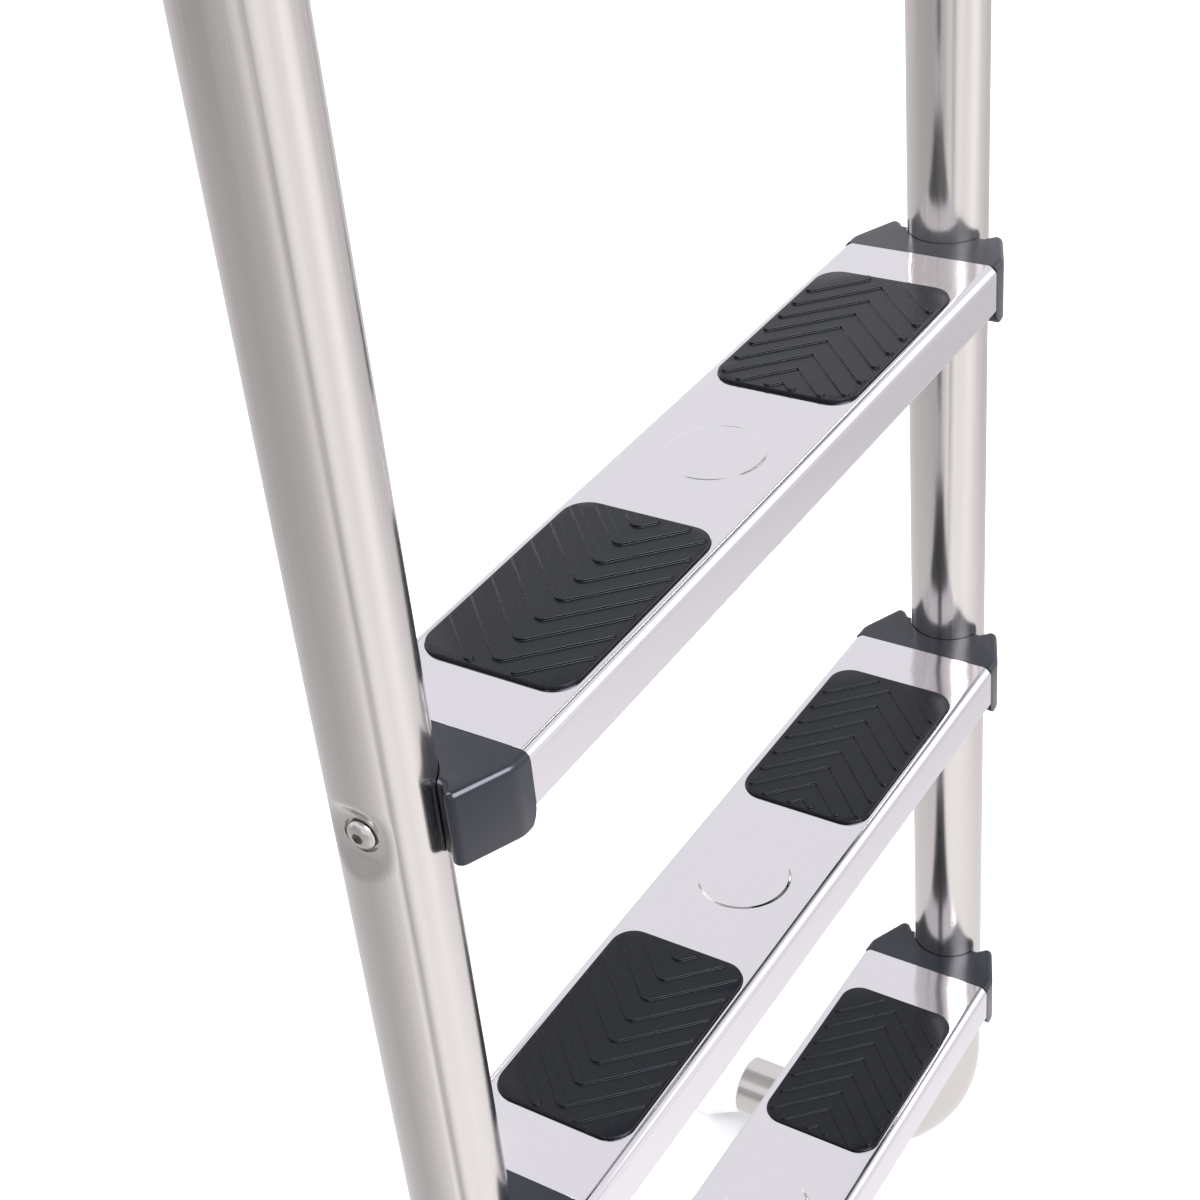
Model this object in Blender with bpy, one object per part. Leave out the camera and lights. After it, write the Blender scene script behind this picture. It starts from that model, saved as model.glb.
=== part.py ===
"""Boat boarding ladder: arched stainless rails, folded treads with rubber pads, and hinges on the deck.

Metres, +Z up. The deck plane is z = 0 and the hinge bases stand on it either side of the origin.
-Y is outboard, where the climber stands; +Y is inboard. -X is the left side.
"""

import math

import bmesh
import bpy
from mathutils import Matrix

# Rails: one bent tube a side.
RAIL_X = 0.250
RAIL_Y = -0.500
TUBE_R = 0.021
TUBE_WALL = 0.0015
TUBE_STEPS = 20
ARCH_TOP_Z = 0.700
ARCH_BEND_R = 0.180
LOWER_BEND_R = 0.120
LOWER_LEG_Z = -0.938
LOWER_LEG_END = 0.158
BEND_STEPS = 8

# Treads: folded sheet channels.
TREAD_TOPS = (-0.220, -0.470, -0.720)
TREAD_HALF_LENGTH = 0.2147
TREAD_HALF_DEPTH = 0.042
TREAD_SKIRT = 0.027
SHEET = 0.001
FOLD_R = 0.005
LIP_FOLD_R = 0.003
LIP_REACH = 0.008

# Rubber pads, two to a tread.
PAD_CENTRE_X = 0.1196
PAD_HALF_X = 0.0609
PAD_HALF_Y = 0.03575
PAD_CORNER_R = 0.012
PAD_STANDS = 0.0015
PAD_FLANGE = 0.0021
PAD_FLANGE_DEPTH = 0.002
RIB_PITCH = 0.015
RIB_FIRST_X = 0.071
RIB_COUNT = 9
RIB_WIDTH = 0.004
RIB_HEIGHT = 0.0009
RIB_INSET = 0.0035

# End caps: moulded, clamped between tread and rail.
CAP_DEPTH = 0.0335
CAP_CORNER_X = 0.226
CAP_CORNER_R = 0.011
CAP_SPIGOT_END = 0.200
CAP_SPIGOT_HALF_Y = 0.0405
CAP_TOP_ROUND = 0.003
SADDLE_GAP = 0.0004
SADDLE_STEPS = 24

# Fasteners.
GAP = 0.0003
BOLT_R = 0.004
BOLT_HOLE_R = 0.0043
BOLT_DROP = 0.016
BOLT_LENGTH = 0.0637
BOLT_HEAD_R = 0.0065
BOLT_HEAD_HEIGHT = 0.0044
SEAT_R = 0.0078
SEAT_DEPTH = 0.0063
SEAT_WALL = 0.0017
SOCKET_FLATS = 0.005
SOCKET_DEPTH = 0.0026
NUT_FLATS = 0.013
NUT_POCKET_FLATS = 0.0136
NUT_INNER_X = 0.2045
NUT_THICKNESS = 0.0065

# Wall bumpers on the lower ends.
BUMPER_PLUG_R = 0.0189
BUMPER_PLUG_START = 0.133
BUMPER_FACE = 0.190
BUMPER_R = 0.033

# Deck hinges.
PIVOT_Z = 0.045
BASE_HALF_X = 0.055
BASE_HALF_Y = 0.040
BASE_THICK = 0.006
BASE_CORNER_R = 0.012
BASE_HOLE_X = 0.042
BASE_HOLE_Y = 0.027
BASE_HOLE_R = 0.00275
EAR_INNER_X = 0.0215
EAR_THICK = 0.006
EAR_R = 0.020
PIN_R = 0.005
PIN_HOLE_R = 0.0053
PIN_HEAD_R = 0.008
PIN_HEAD_THICK = 0.005
PIN_END_X = 0.043
TONGUE_HALF_X = 0.020
COLLAR_LOW = 0.024
COLLAR_TOP = 0.030
COLLAR_R = 0.0235
SPIGOT_R = 0.0189
SPIGOT_LENGTH = 0.0455
WASHER_R = 0.016
OUTER_WASHER_R = 0.009
OUTER_WASHER_THICK = 0.002
KNOB_R = 0.0185
KNOB_LOBE = 0.0015
KNOB_LOBES = 6
KNOB_HUB_R = 0.011
KNOB_END_X = 0.050
FOOT_SCREW_RISE = 0.020
FOOT_SCREW_R = 0.003
FOOT_SCREW_HOLE_R = 0.0033
FOOT_SCREW_HEAD_R = 0.0052

ROUND_STEPS = 12

STAINLESS = ((0.62, 0.61, 0.60), 1.0, 0.16)
BRIGHT_SHEET = ((0.70, 0.70, 0.72), 1.0, 0.22)
ZINC = ((0.60, 0.60, 0.62), 1.0, 0.30)
BLACK_RUBBER = ((0.030, 0.031, 0.036), 0.0, 0.70)
BLACK_PLASTIC = ((0.026, 0.026, 0.029), 0.0, 0.35)
WHITE_PLASTIC = ((0.80, 0.80, 0.78), 0.0, 0.40)

HALF_TURN = Matrix.Rotation(math.pi, 4, "Z")


def clear_scene():
    for obj in list(bpy.data.objects):
        bpy.data.objects.remove(obj, do_unlink=True)


def new_collection(name):
    collection = bpy.data.collections.new(name)
    bpy.context.scene.collection.children.link(collection)
    return collection


def mesh_of(points, faces):
    """A mesh whose faces all point outwards."""
    mesh = bpy.data.meshes.new("shape")
    mesh.from_pydata(points, [], faces)
    work = bmesh.new()
    work.from_mesh(mesh)
    bmesh.ops.recalc_face_normals(work, faces=work.faces)
    work.to_mesh(mesh)
    work.free()
    return mesh


def placed(axis, a, b, h):
    """The point at height h along the axis, with a and b across it."""
    if axis == "X":
        return (h, a, b)
    if axis == "Y":
        return (a, h, b)
    return (a, b, h)


def skin(rings):
    """A closed body through rings of equal count, with flat ends."""
    count = len(rings[0])
    points = [point for ring in rings for point in ring]
    last = count * (len(rings) - 1)
    faces = [tuple(range(count)), tuple(range(last, last + count))]
    for low in range(0, last, count):
        for i in range(count):
            j = (i + 1) % count
            faces.append((low + i, low + j, low + count + j, low + count + i))
    return mesh_of(points, faces)


def prism(outline, low, high, axis):
    return skin([[placed(axis, a, b, h) for a, b in outline] for h in (low, high)])


def circle(radius, steps, centre=(0.0, 0.0)):
    turns = [2 * math.pi * i / steps for i in range(steps)]
    return [(centre[0] + radius * math.cos(t), centre[1] + radius * math.sin(t)) for t in turns]


def arc(centre, radius, start, end, steps):
    """Points from one angle to another, in degrees, both ends included."""
    turns = [math.radians(start + (end - start) * i / steps) for i in range(steps + 1)]
    return [(centre[0] + radius * math.cos(t), centre[1] + radius * math.sin(t)) for t in turns]


def hexagon(flats, centre):
    return circle(flats / math.sqrt(3), 6, centre)


def rounded_rectangle(half_a, half_b, radius, steps=4):
    outline = []
    for sign_a, sign_b, start in ((1, 1, 0), (-1, 1, 90), (-1, -1, 180), (1, -1, 270)):
        centre = (sign_a * (half_a - radius), sign_b * (half_b - radius))
        outline += arc(centre, radius, start, start + 90, steps)
    return outline


def turned(profile, axis, centre, steps=ROUND_STEPS, ring=False):
    """A body turned from (radius, height) points. A ring's profile closes on itself."""
    points = []
    rows = []
    for radius, height in profile:
        spots = [centre] if radius == 0 else circle(radius, steps, centre)
        rows.append(range(len(points), len(points) + len(spots)))
        points += [placed(axis, a, b, height) for a, b in spots]
    faces = []
    pairs = list(zip(rows, rows[1:]))
    if ring:
        pairs.append((rows[-1], rows[0]))
    for low, high in pairs:
        for i in range(steps):
            j = (i + 1) % steps
            corners = (low[i % len(low)], low[j % len(low)], high[j % len(high)], high[i % len(high)])
            faces.append(tuple(dict.fromkeys(corners)))
    return mesh_of(points, faces)


def washer(outer, bore, low, high, centre):
    profile = [(bore, low), (outer, low), (outer, high), (bore, high)]
    return turned(profile, "X", centre, ring=True)


def combined(mesh, operation, tools):
    """The mesh after a Boolean with each tool mesh in turn."""
    base = bpy.data.objects.new("base", mesh)
    bpy.context.scene.collection.objects.link(base)
    helpers = []
    for tool in tools:
        helper = bpy.data.objects.new("tool", tool)
        bpy.context.scene.collection.objects.link(helper)
        modifier = base.modifiers.new("boolean", "BOOLEAN")
        modifier.operation = operation
        modifier.solver = "EXACT"
        modifier.object = helper
        helpers.append(helper)
    graph = bpy.context.evaluated_depsgraph_get()
    result = bpy.data.meshes.new_from_object(base.evaluated_get(graph))
    for obj in [base] + helpers:
        bpy.data.objects.remove(obj, do_unlink=True)
    return result


def mirrored(mesh):
    """The mesh turned over the plane x = 0, still facing outwards."""
    other = mesh.copy()
    other.transform(Matrix.Diagonal((-1.0, 1.0, 1.0, 1.0)))
    other.flip_normals()
    return other


def look(name, finish):
    colour, metallic, roughness = finish
    material = bpy.data.materials.new(name)
    material.use_nodes = True
    shader = material.node_tree.nodes["Principled BSDF"]
    shader.inputs["Base Color"].default_value = (*colour, 1.0)
    shader.inputs["Metallic"].default_value = metallic
    shader.inputs["Roughness"].default_value = roughness
    return material


def node(name, mesh, finish, collection, place=None):
    """One named part, with a mesh and a material of its own."""
    own = mesh.copy()
    own.name = name
    own.materials.clear()
    own.materials.append(look(name, finish))
    own.shade_smooth()
    own.set_sharp_from_angle(angle=math.radians(32))
    obj = bpy.data.objects.new(name, own)
    obj.matrix_world = place or Matrix.Identity(4)
    collection.objects.link(obj)
    return obj


def rail_path():
    """(y, z, tangent angle) down the tube's centre line, from the bumper end up over the arch."""
    stations = [(RAIL_Y + LOWER_LEG_END, LOWER_LEG_Z, 180)]
    bends = (
        (RAIL_Y + LOWER_BEND_R, LOWER_LEG_Z + LOWER_BEND_R, LOWER_BEND_R, 270, 180),
        (RAIL_Y + ARCH_BEND_R, ARCH_TOP_Z - ARCH_BEND_R, ARCH_BEND_R, 180, 90),
        (-ARCH_BEND_R, ARCH_TOP_Z - ARCH_BEND_R, ARCH_BEND_R, 90, 0),
    )
    for y, z, radius, start, end in bends:
        for i in range(BEND_STEPS + 1):
            turn = start + (end - start) * i / BEND_STEPS
            a, b = arc((y, z), radius, turn, turn, 1)[0]
            stations.append((a, b, turn - 90))
    stations.append((0.0, PIVOT_Z + COLLAR_TOP + GAP, -90))
    return stations


def tube_ring(station, radius):
    y, z, heading = station
    across = math.radians(heading + 90)
    ring = []
    for a, b in circle(radius, TUBE_STEPS):
        ring.append((-RAIL_X + a, y + b * math.cos(across), z + b * math.sin(across)))
    return ring


def seat_cup(height):
    """A round boss inside the left rail's outer wall, for a bolt's sunk seat at this height."""
    floor = -RAIL_X - TUBE_R + SEAT_DEPTH + TUBE_WALL
    boss = prism(circle(SEAT_R + SEAT_WALL, 2 * ROUND_STEPS, (RAIL_Y, height)), -RAIL_X - TUBE_R, floor, "X")
    bound = circle(TUBE_R - 0.0002, TUBE_STEPS, (-RAIL_X, RAIL_Y))
    return combined(boss, "INTERSECT", [prism(bound, height - TUBE_R, height + TUBE_R, "Z")])


def rail_mesh():
    """The left rail: a bent tube with its sunk bolt seats, bolt holes and foot-screw hole."""
    stations = rail_path()
    rings = [tube_ring(station, TUBE_R) for station in stations]
    rings += [tube_ring(station, TUBE_R - TUBE_WALL) for station in reversed(stations)]
    points = [point for ring in rings for point in ring]
    faces = []
    total = len(rings)
    for row in range(total):
        low = row * TUBE_STEPS
        high = ((row + 1) % total) * TUBE_STEPS
        for i in range(TUBE_STEPS):
            j = (i + 1) % TUBE_STEPS
            faces.append((low + i, low + j, high + j, high + i))
    reach = TUBE_R + 0.010
    cups = []
    drills = []
    for top in TREAD_TOPS:
        centre = (RAIL_Y, top - BOLT_DROP)
        cups.append(seat_cup(top - BOLT_DROP))
        drills.append(prism(circle(BOLT_HOLE_R, ROUND_STEPS, centre), -RAIL_X - reach, -RAIL_X + reach, "X"))
        sink = circle(SEAT_R, 2 * ROUND_STEPS, centre)
        drills.append(prism(sink, -RAIL_X - reach, -RAIL_X - TUBE_R + SEAT_DEPTH, "X"))
    screw_z = PIVOT_Z + COLLAR_TOP + FOOT_SCREW_RISE
    outline = circle(FOOT_SCREW_HOLE_R, ROUND_STEPS, (-RAIL_X, screw_z))
    drills.append(prism(outline, 0.005, reach, "Y"))
    return combined(combined(mesh_of(points, faces), "UNION", cups), "DIFFERENCE", drills)


def tread_outline():
    """The folded channel's section, in Y and Z, with its top at z = 0."""
    side = TREAD_HALF_DEPTH
    foot = -TREAD_SKIRT
    lip = side - LIP_REACH
    outer = arc((side - FOLD_R, -FOLD_R), FOLD_R, 90, 0, 4)
    outer += arc((side - LIP_FOLD_R, foot + LIP_FOLD_R), LIP_FOLD_R, 0, -90, 3)
    outer.append((lip, foot))
    inner = [(lip, foot + SHEET)]
    inner += arc((side - LIP_FOLD_R, foot + LIP_FOLD_R), LIP_FOLD_R - SHEET, -90, 0, 3)
    inner += arc((side - FOLD_R, -FOLD_R), FOLD_R - SHEET, 0, 90, 4)
    right = outer + inner
    left = [(-y, z) for y, z in reversed(right)]
    return left[len(inner):] + right + left[:len(inner)]


def tread_mesh():
    """One tread, its top at z = 0 and its middle at x = 0, with the two pad windows cut."""
    outline = [(RAIL_Y + y, z) for y, z in tread_outline()]
    plate = prism(outline, -TREAD_HALF_LENGTH, TREAD_HALF_LENGTH, "X")
    window = rounded_rectangle(PAD_HALF_X + GAP, PAD_HALF_Y + GAP, PAD_CORNER_R + GAP)
    cutters = []
    for side in (-1, 1):
        shifted = [(side * PAD_CENTRE_X + x, RAIL_Y + y) for x, y in window]
        cutters.append(prism(shifted, -0.004, 0.004, "Z"))
    return combined(plate, "DIFFERENCE", cutters)


def pad_ring(grow, z):
    outline = rounded_rectangle(PAD_HALF_X + grow, PAD_HALF_Y + min(grow, 0.00125), PAD_CORNER_R + grow)
    return [(x - PAD_CENTRE_X, RAIL_Y + y, z) for x, y in outline]


def rib_mesh(apex_x):
    """One V rib, its point outward at apex_x and its arms running in at 45 degrees."""
    arm = PAD_HALF_Y + 0.010
    back = RIB_WIDTH * math.sqrt(2)
    outline = [(0.0, 0.0), (arm, arm), (arm + back, arm), (back, 0.0), (arm + back, -arm), (arm, -arm)]
    low = PAD_STANDS - 0.0004
    shifted = [(apex_x + x, RAIL_Y + y) for x, y in outline]
    return prism(shifted, low, PAD_STANDS + RIB_HEIGHT, "Z")


def pad_mesh():
    """The left pad of a tread whose top is at z = 0: flange, body and V ribs."""
    under = -SHEET - GAP
    rings = [
        pad_ring(PAD_FLANGE, under - PAD_FLANGE_DEPTH),
        pad_ring(PAD_FLANGE, under),
        pad_ring(0.0, under),
        pad_ring(0.0, PAD_STANDS - 0.0005),
        pad_ring(-0.0005, PAD_STANDS),
    ]
    inset = rounded_rectangle(PAD_HALF_X - RIB_INSET, PAD_HALF_Y - RIB_INSET, PAD_CORNER_R - RIB_INSET)
    shifted = [(x - PAD_CENTRE_X, RAIL_Y + y) for x, y in inset]
    field = prism(shifted, 0.0, PAD_STANDS + 0.005, "Z")
    ribs = []
    for i in range(RIB_COUNT):
        rib = rib_mesh(-RIB_FIRST_X - i * RIB_PITCH)
        ribs.append(combined(rib, "INTERSECT", [field.copy()]))
    return combined(skin(rings), "UNION", ribs)


def cap_outline():
    """The cap's plan outside the tread, before the tube's saddle is cut."""
    start = TREAD_HALF_LENGTH + GAP
    side = [(start, TREAD_HALF_DEPTH), (0.2235, TREAD_HALF_DEPTH)]
    side += arc((0.2457, 0.0284), 0.0035, 66, -40, 4)
    side += [(0.2445, 0.0225)]
    other = [(u, -v) for u, v in reversed(side)]
    return [(-u, RAIL_Y + v) for u, v in side + other]


def shrunk(outline, amount):
    """The outline moved in by an amount, along the mean of its two edge normals at each point."""
    moved = []
    count = len(outline)
    for i in range(count):
        before, here, after = outline[i - 1], outline[i], outline[(i + 1) % count]
        first = (here[1] - before[1], before[0] - here[0])
        second = (after[1] - here[1], here[0] - after[0])
        a = math.hypot(*first)
        b = math.hypot(*second)
        normal = (first[0] / a + second[0] / b, first[1] / a + second[1] / b)
        scale = 2 * amount / (normal[0] ** 2 + normal[1] ** 2)
        moved.append((here[0] - normal[0] * scale, here[1] - normal[1] * scale))
    return moved


def cap_mesh():
    """The left end cap of a tread whose top is at z = 0."""
    outline = cap_outline()
    area = sum(a[0] * b[1] - b[0] * a[1] for a, b in zip(outline, outline[1:] + outline[:1]))
    if area < 0:
        outline.reverse()
    levels = ((0.001, -CAP_DEPTH), (0.0, -CAP_DEPTH + 0.001), (0.0, -CAP_TOP_ROUND))
    levels += ((0.0007, -0.0007), (CAP_TOP_ROUND, 0.0))
    rings = []
    for amount, z in levels:
        rings.append([(x, y, z) for x, y in shrunk(outline, amount)])
    body = skin(rings)
    half = CAP_SPIGOT_HALF_Y
    section = [(-half, -0.022), (-half, -0.006), (-half + 0.0045, -0.0014)]
    section += [(half - 0.0045, -0.0014), (half, -0.006), (half, -0.022)]
    section += [(half - 0.003, -0.0255), (-half + 0.003, -0.0255)]
    section = [(RAIL_Y + y, z) for y, z in section]
    spigot = prism(section, -0.220, -CAP_SPIGOT_END, "X")
    body = combined(body, "UNION", [spigot])
    corner = arc((CAP_CORNER_X, CAP_CORNER_R - CAP_DEPTH - 0.001), CAP_CORNER_R, 190, 270, 5)
    under = [(-0.205, -CAP_DEPTH - 0.002), (-0.205, -TREAD_SKIRT)]
    under += [(-u, z) for u, z in corner]
    under += [(-CAP_CORNER_X, -CAP_DEPTH - 0.002)]
    saddle = circle(TUBE_R + SADDLE_GAP, SADDLE_STEPS, (-RAIL_X, RAIL_Y))
    bore_at = (RAIL_Y, -BOLT_DROP)
    cutters = [
        prism(under, RAIL_Y - 0.050, RAIL_Y + 0.050, "Y"),
        prism(saddle, -CAP_DEPTH - 0.002, 0.002, "Z"),
        prism(circle(BOLT_HOLE_R, ROUND_STEPS, bore_at), -0.240, -0.190, "X"),
        prism(hexagon(NUT_POCKET_FLATS, bore_at), -NUT_INNER_X - NUT_THICKNESS - GAP, -0.190, "X"),
    ]
    return combined(body, "DIFFERENCE", cutters)


def bolt_mesh():
    """The left tread bolt, put in from outside the rail, for a tread whose top is at z = 0."""
    seat = -(RAIL_X + TUBE_R - SEAT_DEPTH + GAP)
    tip = seat + BOLT_LENGTH
    top = seat - BOLT_HEAD_HEIGHT
    profile = [(0, tip), (BOLT_R - 0.0006, tip), (BOLT_R, tip - 0.0006), (BOLT_R, seat)]
    profile += [(BOLT_HEAD_R - 0.0003, seat), (BOLT_HEAD_R, seat - 0.0008)]
    profile += [(BOLT_HEAD_R - 0.0010, top + 0.0013), (BOLT_HEAD_R - 0.0030, top + 0.0002), (0, top)]
    centre = (RAIL_Y, -BOLT_DROP)
    socket = prism(hexagon(SOCKET_FLATS, centre), top - 0.001, top + SOCKET_DEPTH, "X")
    return combined(turned(profile, "X", centre), "DIFFERENCE", [socket])


def nut_mesh():
    centre = (RAIL_Y, -BOLT_DROP)
    block = prism(hexagon(NUT_FLATS, centre), -NUT_INNER_X - NUT_THICKNESS, -NUT_INNER_X, "X")
    bore = prism(circle(BOLT_HOLE_R, ROUND_STEPS, centre), -0.230, -0.190, "X")
    return combined(block, "DIFFERENCE", [bore])


def bumper_mesh():
    """The left bumper: a plug in the tube's end and a flared foot."""
    end = LOWER_LEG_END + GAP
    profile = [(0, BUMPER_PLUG_START), (BUMPER_PLUG_R - 0.0015, BUMPER_PLUG_START)]
    profile += [(BUMPER_PLUG_R, BUMPER_PLUG_START + 0.0015), (BUMPER_PLUG_R, end), (TUBE_R, end)]
    profile += [(0.0232, 0.163), (0.0290, 0.176), (BUMPER_R, BUMPER_FACE - 0.003)]
    profile += [(BUMPER_R - 0.0015, BUMPER_FACE), (0, BUMPER_FACE)]
    shifted = [(r, RAIL_Y + y) for r, y in profile]
    return turned(shifted, "Y", (-RAIL_X, LOWER_LEG_Z), steps=TUBE_STEPS)


def base_mesh():
    """The left deck base: a plate with two ears for the hinge pin."""
    outline = [(x - RAIL_X, y) for x, y in rounded_rectangle(BASE_HALF_X, BASE_HALF_Y, BASE_CORNER_R)]
    ear = [(-EAR_R, BASE_THICK - 0.002)]
    ear += [(-EAR_R, PIVOT_Z)]
    ear += arc((0.0, PIVOT_Z), EAR_R, 180, 0, 10)[1:]
    ear += [(EAR_R, BASE_THICK - 0.002)]
    ears = []
    for side in (-1, 1):
        faces = sorted((side * EAR_INNER_X, side * (EAR_INNER_X + EAR_THICK)))
        ears.append(prism(ear, faces[0] - RAIL_X, faces[1] - RAIL_X, "X"))
    body = combined(prism(outline, 0.0, BASE_THICK, "Z"), "UNION", ears)
    drills = [prism(circle(PIN_HOLE_R, ROUND_STEPS, (0.0, PIVOT_Z)), -RAIL_X - 0.04, -RAIL_X + 0.04, "X")]
    for x in (-BASE_HOLE_X, BASE_HOLE_X):
        for y in (-BASE_HOLE_Y, BASE_HOLE_Y):
            hole = circle(BASE_HOLE_R, ROUND_STEPS, (x - RAIL_X, y))
            drills.append(prism(hole, -0.002, BASE_THICK + 0.002, "Z"))
    return combined(body, "DIFFERENCE", drills)


def foot_mesh():
    """The left hinge foot: a tongue between the ears, a collar, and a spigot up the tube."""
    tongue = arc((0.0, PIVOT_Z), TONGUE_HALF_X, 180, 360, 10)
    tongue += [(TONGUE_HALF_X, PIVOT_Z + COLLAR_LOW + 0.0005), (-TONGUE_HALF_X, PIVOT_Z + COLLAR_LOW + 0.0005)]
    block = prism(tongue, -RAIL_X - TONGUE_HALF_X, -RAIL_X + TONGUE_HALF_X, "X")
    end = COLLAR_TOP + SPIGOT_LENGTH
    profile = [(0, COLLAR_LOW), (COLLAR_R - 0.0005, COLLAR_LOW), (COLLAR_R, COLLAR_LOW + 0.0005)]
    profile += [(COLLAR_R, COLLAR_TOP - 0.0005), (COLLAR_R - 0.0005, COLLAR_TOP), (SPIGOT_R, COLLAR_TOP)]
    profile += [(SPIGOT_R, end - 0.001), (SPIGOT_R - 0.001, end), (0, end)]
    shifted = [(r, PIVOT_Z + z) for r, z in profile]
    body = combined(block, "UNION", [turned(shifted, "Z", (-RAIL_X, 0.0), steps=TUBE_STEPS)])
    pin = prism(circle(PIN_HOLE_R, ROUND_STEPS, (0.0, PIVOT_Z)), -RAIL_X - 0.03, -RAIL_X + 0.03, "X")
    screw_at = (-RAIL_X, PIVOT_Z + COLLAR_TOP + FOOT_SCREW_RISE)
    screw = prism(circle(FOOT_SCREW_HOLE_R, ROUND_STEPS, screw_at), 0.0085, 0.030, "Y")
    return combined(body, "DIFFERENCE", [pin, screw])


def foot_screw_mesh():
    seat = TUBE_R + GAP
    top = seat + 0.0033
    profile = [(0, 0.010), (FOOT_SCREW_R, 0.010), (FOOT_SCREW_R, seat), (FOOT_SCREW_HEAD_R, seat)]
    profile += [(FOOT_SCREW_HEAD_R, seat + 0.0008), (FOOT_SCREW_HEAD_R - 0.0016, top)]
    profile += [(0.0020, top), (0.0020, top - 0.0018), (0, top - 0.0018)]
    centre = (-RAIL_X, PIVOT_Z + COLLAR_TOP + FOOT_SCREW_RISE)
    return turned(profile, "Y", centre)


def pin_mesh():
    """The left hinge pin, its head on the inner ear and its end in the knob."""
    seat = EAR_INNER_X + EAR_THICK + GAP
    head = seat + PIN_HEAD_THICK
    profile = [(0, head), (PIN_HEAD_R - 0.001, head), (PIN_HEAD_R, head - 0.001), (PIN_HEAD_R, seat)]
    profile += [(PIN_R, seat), (PIN_R, -PIN_END_X + 0.0008), (PIN_R - 0.0008, -PIN_END_X), (0, -PIN_END_X)]
    return turned([(r, x - RAIL_X) for r, x in profile], "X", (0.0, PIVOT_Z))


def outer_washer_mesh():
    start = -RAIL_X - EAR_INNER_X - EAR_THICK - GAP
    return washer(OUTER_WASHER_R, PIN_HOLE_R, start - OUTER_WASHER_THICK, start, (0.0, PIVOT_Z))


def knob_ring(scale, x):
    """A lobed ring about the joint axis, at x along it."""
    ring = []
    steps = KNOB_LOBES * 6
    for i in range(steps):
        turn = 2 * math.pi * i / steps
        radius = scale * (KNOB_R + KNOB_LOBE * math.cos(KNOB_LOBES * turn))
        ring.append((x, radius * math.cos(turn), radius * math.sin(turn)))
    return ring


def knob_mesh():
    """The left clamp knob, about its own joint axis, with a blind bore for the pin."""
    seat = -(EAR_INNER_X + EAR_THICK + 2 * GAP + OUTER_WASHER_THICK)
    lobes = [(0.92, -0.0365), (1.0, -0.0380), (1.0, -KNOB_END_X + 0.0025), (0.90, -KNOB_END_X)]
    head = skin([knob_ring(scale, x) for scale, x in lobes])
    hub = turned([(0, seat), (KNOB_HUB_R, seat), (KNOB_HUB_R, -0.040), (0, -0.040)], "X", (0.0, 0.0), steps=TUBE_STEPS)
    body = combined(head, "UNION", [hub])
    bore = prism(circle(PIN_HOLE_R, ROUND_STEPS), -PIN_END_X - 0.0015, -0.020, "X")
    return combined(body, "DIFFERENCE", [bore])


def build_sides(ladder, deck):
    """The pieces there is one of on each side, left first."""
    inner = -RAIL_X + TONGUE_HALF_X + GAP
    outer = -RAIL_X - TONGUE_HALF_X - GAP
    gap_fill = EAR_INNER_X - TONGUE_HALF_X - 2 * GAP
    rail = rail_mesh()
    node("rail_left", rail, STAINLESS, ladder)
    node("rail_right", mirrored(rail), STAINLESS, ladder)
    slid = (
        ("bumper", bumper_mesh(), WHITE_PLASTIC, ladder),
        ("hinge_foot", foot_mesh(), STAINLESS, ladder),
        ("foot_screw", foot_screw_mesh(), ZINC, ladder),
        ("deck_base", base_mesh(), STAINLESS, deck),
        ("slip_washer_a", washer(WASHER_R, PIN_HOLE_R, inner, inner + gap_fill, (0.0, PIVOT_Z)), WHITE_PLASTIC, deck),
        ("slip_washer_b", washer(WASHER_R, PIN_HOLE_R, outer - gap_fill, outer, (0.0, PIVOT_Z)), WHITE_PLASTIC, deck),
    )
    for name, mesh, finish, home in slid:
        node(name + "_left", mesh, finish, home)
        node(name + "_right", mesh, finish, home, Matrix.Translation((2 * RAIL_X, 0.0, 0.0)))
    for name, mesh in (("hinge_pin", pin_mesh()), ("pin_washer", outer_washer_mesh())):
        node(name + "_left", mesh, ZINC, deck)
        node(name + "_right", mesh, ZINC, deck, HALF_TURN)
    knob = knob_mesh()
    node("clamp_knob_left", knob, BLACK_PLASTIC, deck, Matrix.Translation((-RAIL_X, 0.0, PIVOT_Z)))
    node("clamp_knob_right", knob, BLACK_PLASTIC, deck, Matrix.Translation((RAIL_X, 0.0, PIVOT_Z)) @ HALF_TURN)


def build_treads(ladder):
    """Three treads with their pads, caps, bolts and nuts, the top one first."""
    tread = tread_mesh()
    pieces = (
        ("pad", pad_mesh(), BLACK_RUBBER),
        ("end_cap", cap_mesh(), BLACK_PLASTIC),
        ("tread_bolt", bolt_mesh(), ZINC),
        ("tread_nut", nut_mesh(), ZINC),
    )
    about_rail = Matrix.Translation((0.0, RAIL_Y, 0.0)) @ HALF_TURN @ Matrix.Translation((0.0, -RAIL_Y, 0.0))
    for number, top in enumerate(TREAD_TOPS, start=1):
        lift = Matrix.Translation((0.0, 0.0, top))
        node(f"tread_{number}", tread, BRIGHT_SHEET, ladder, lift)
        for name, mesh, finish in pieces:
            node(f"{name}_{number}_left", mesh, finish, ladder, lift)
            node(f"{name}_{number}_right", mesh, finish, ladder, lift @ about_rail)


def hang_on_pivot(ladder):
    """Parents every ladder piece to an empty on the hinge axis."""
    pivot = bpy.data.objects.new("ladder_pivot", None)
    pivot.location = (0.0, 0.0, PIVOT_Z)
    ladder.objects.link(pivot)
    for obj in list(ladder.objects):
        if obj is not pivot:
            obj.parent = pivot
            obj.matrix_parent_inverse = Matrix.Translation((0.0, 0.0, -PIVOT_Z))


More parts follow.
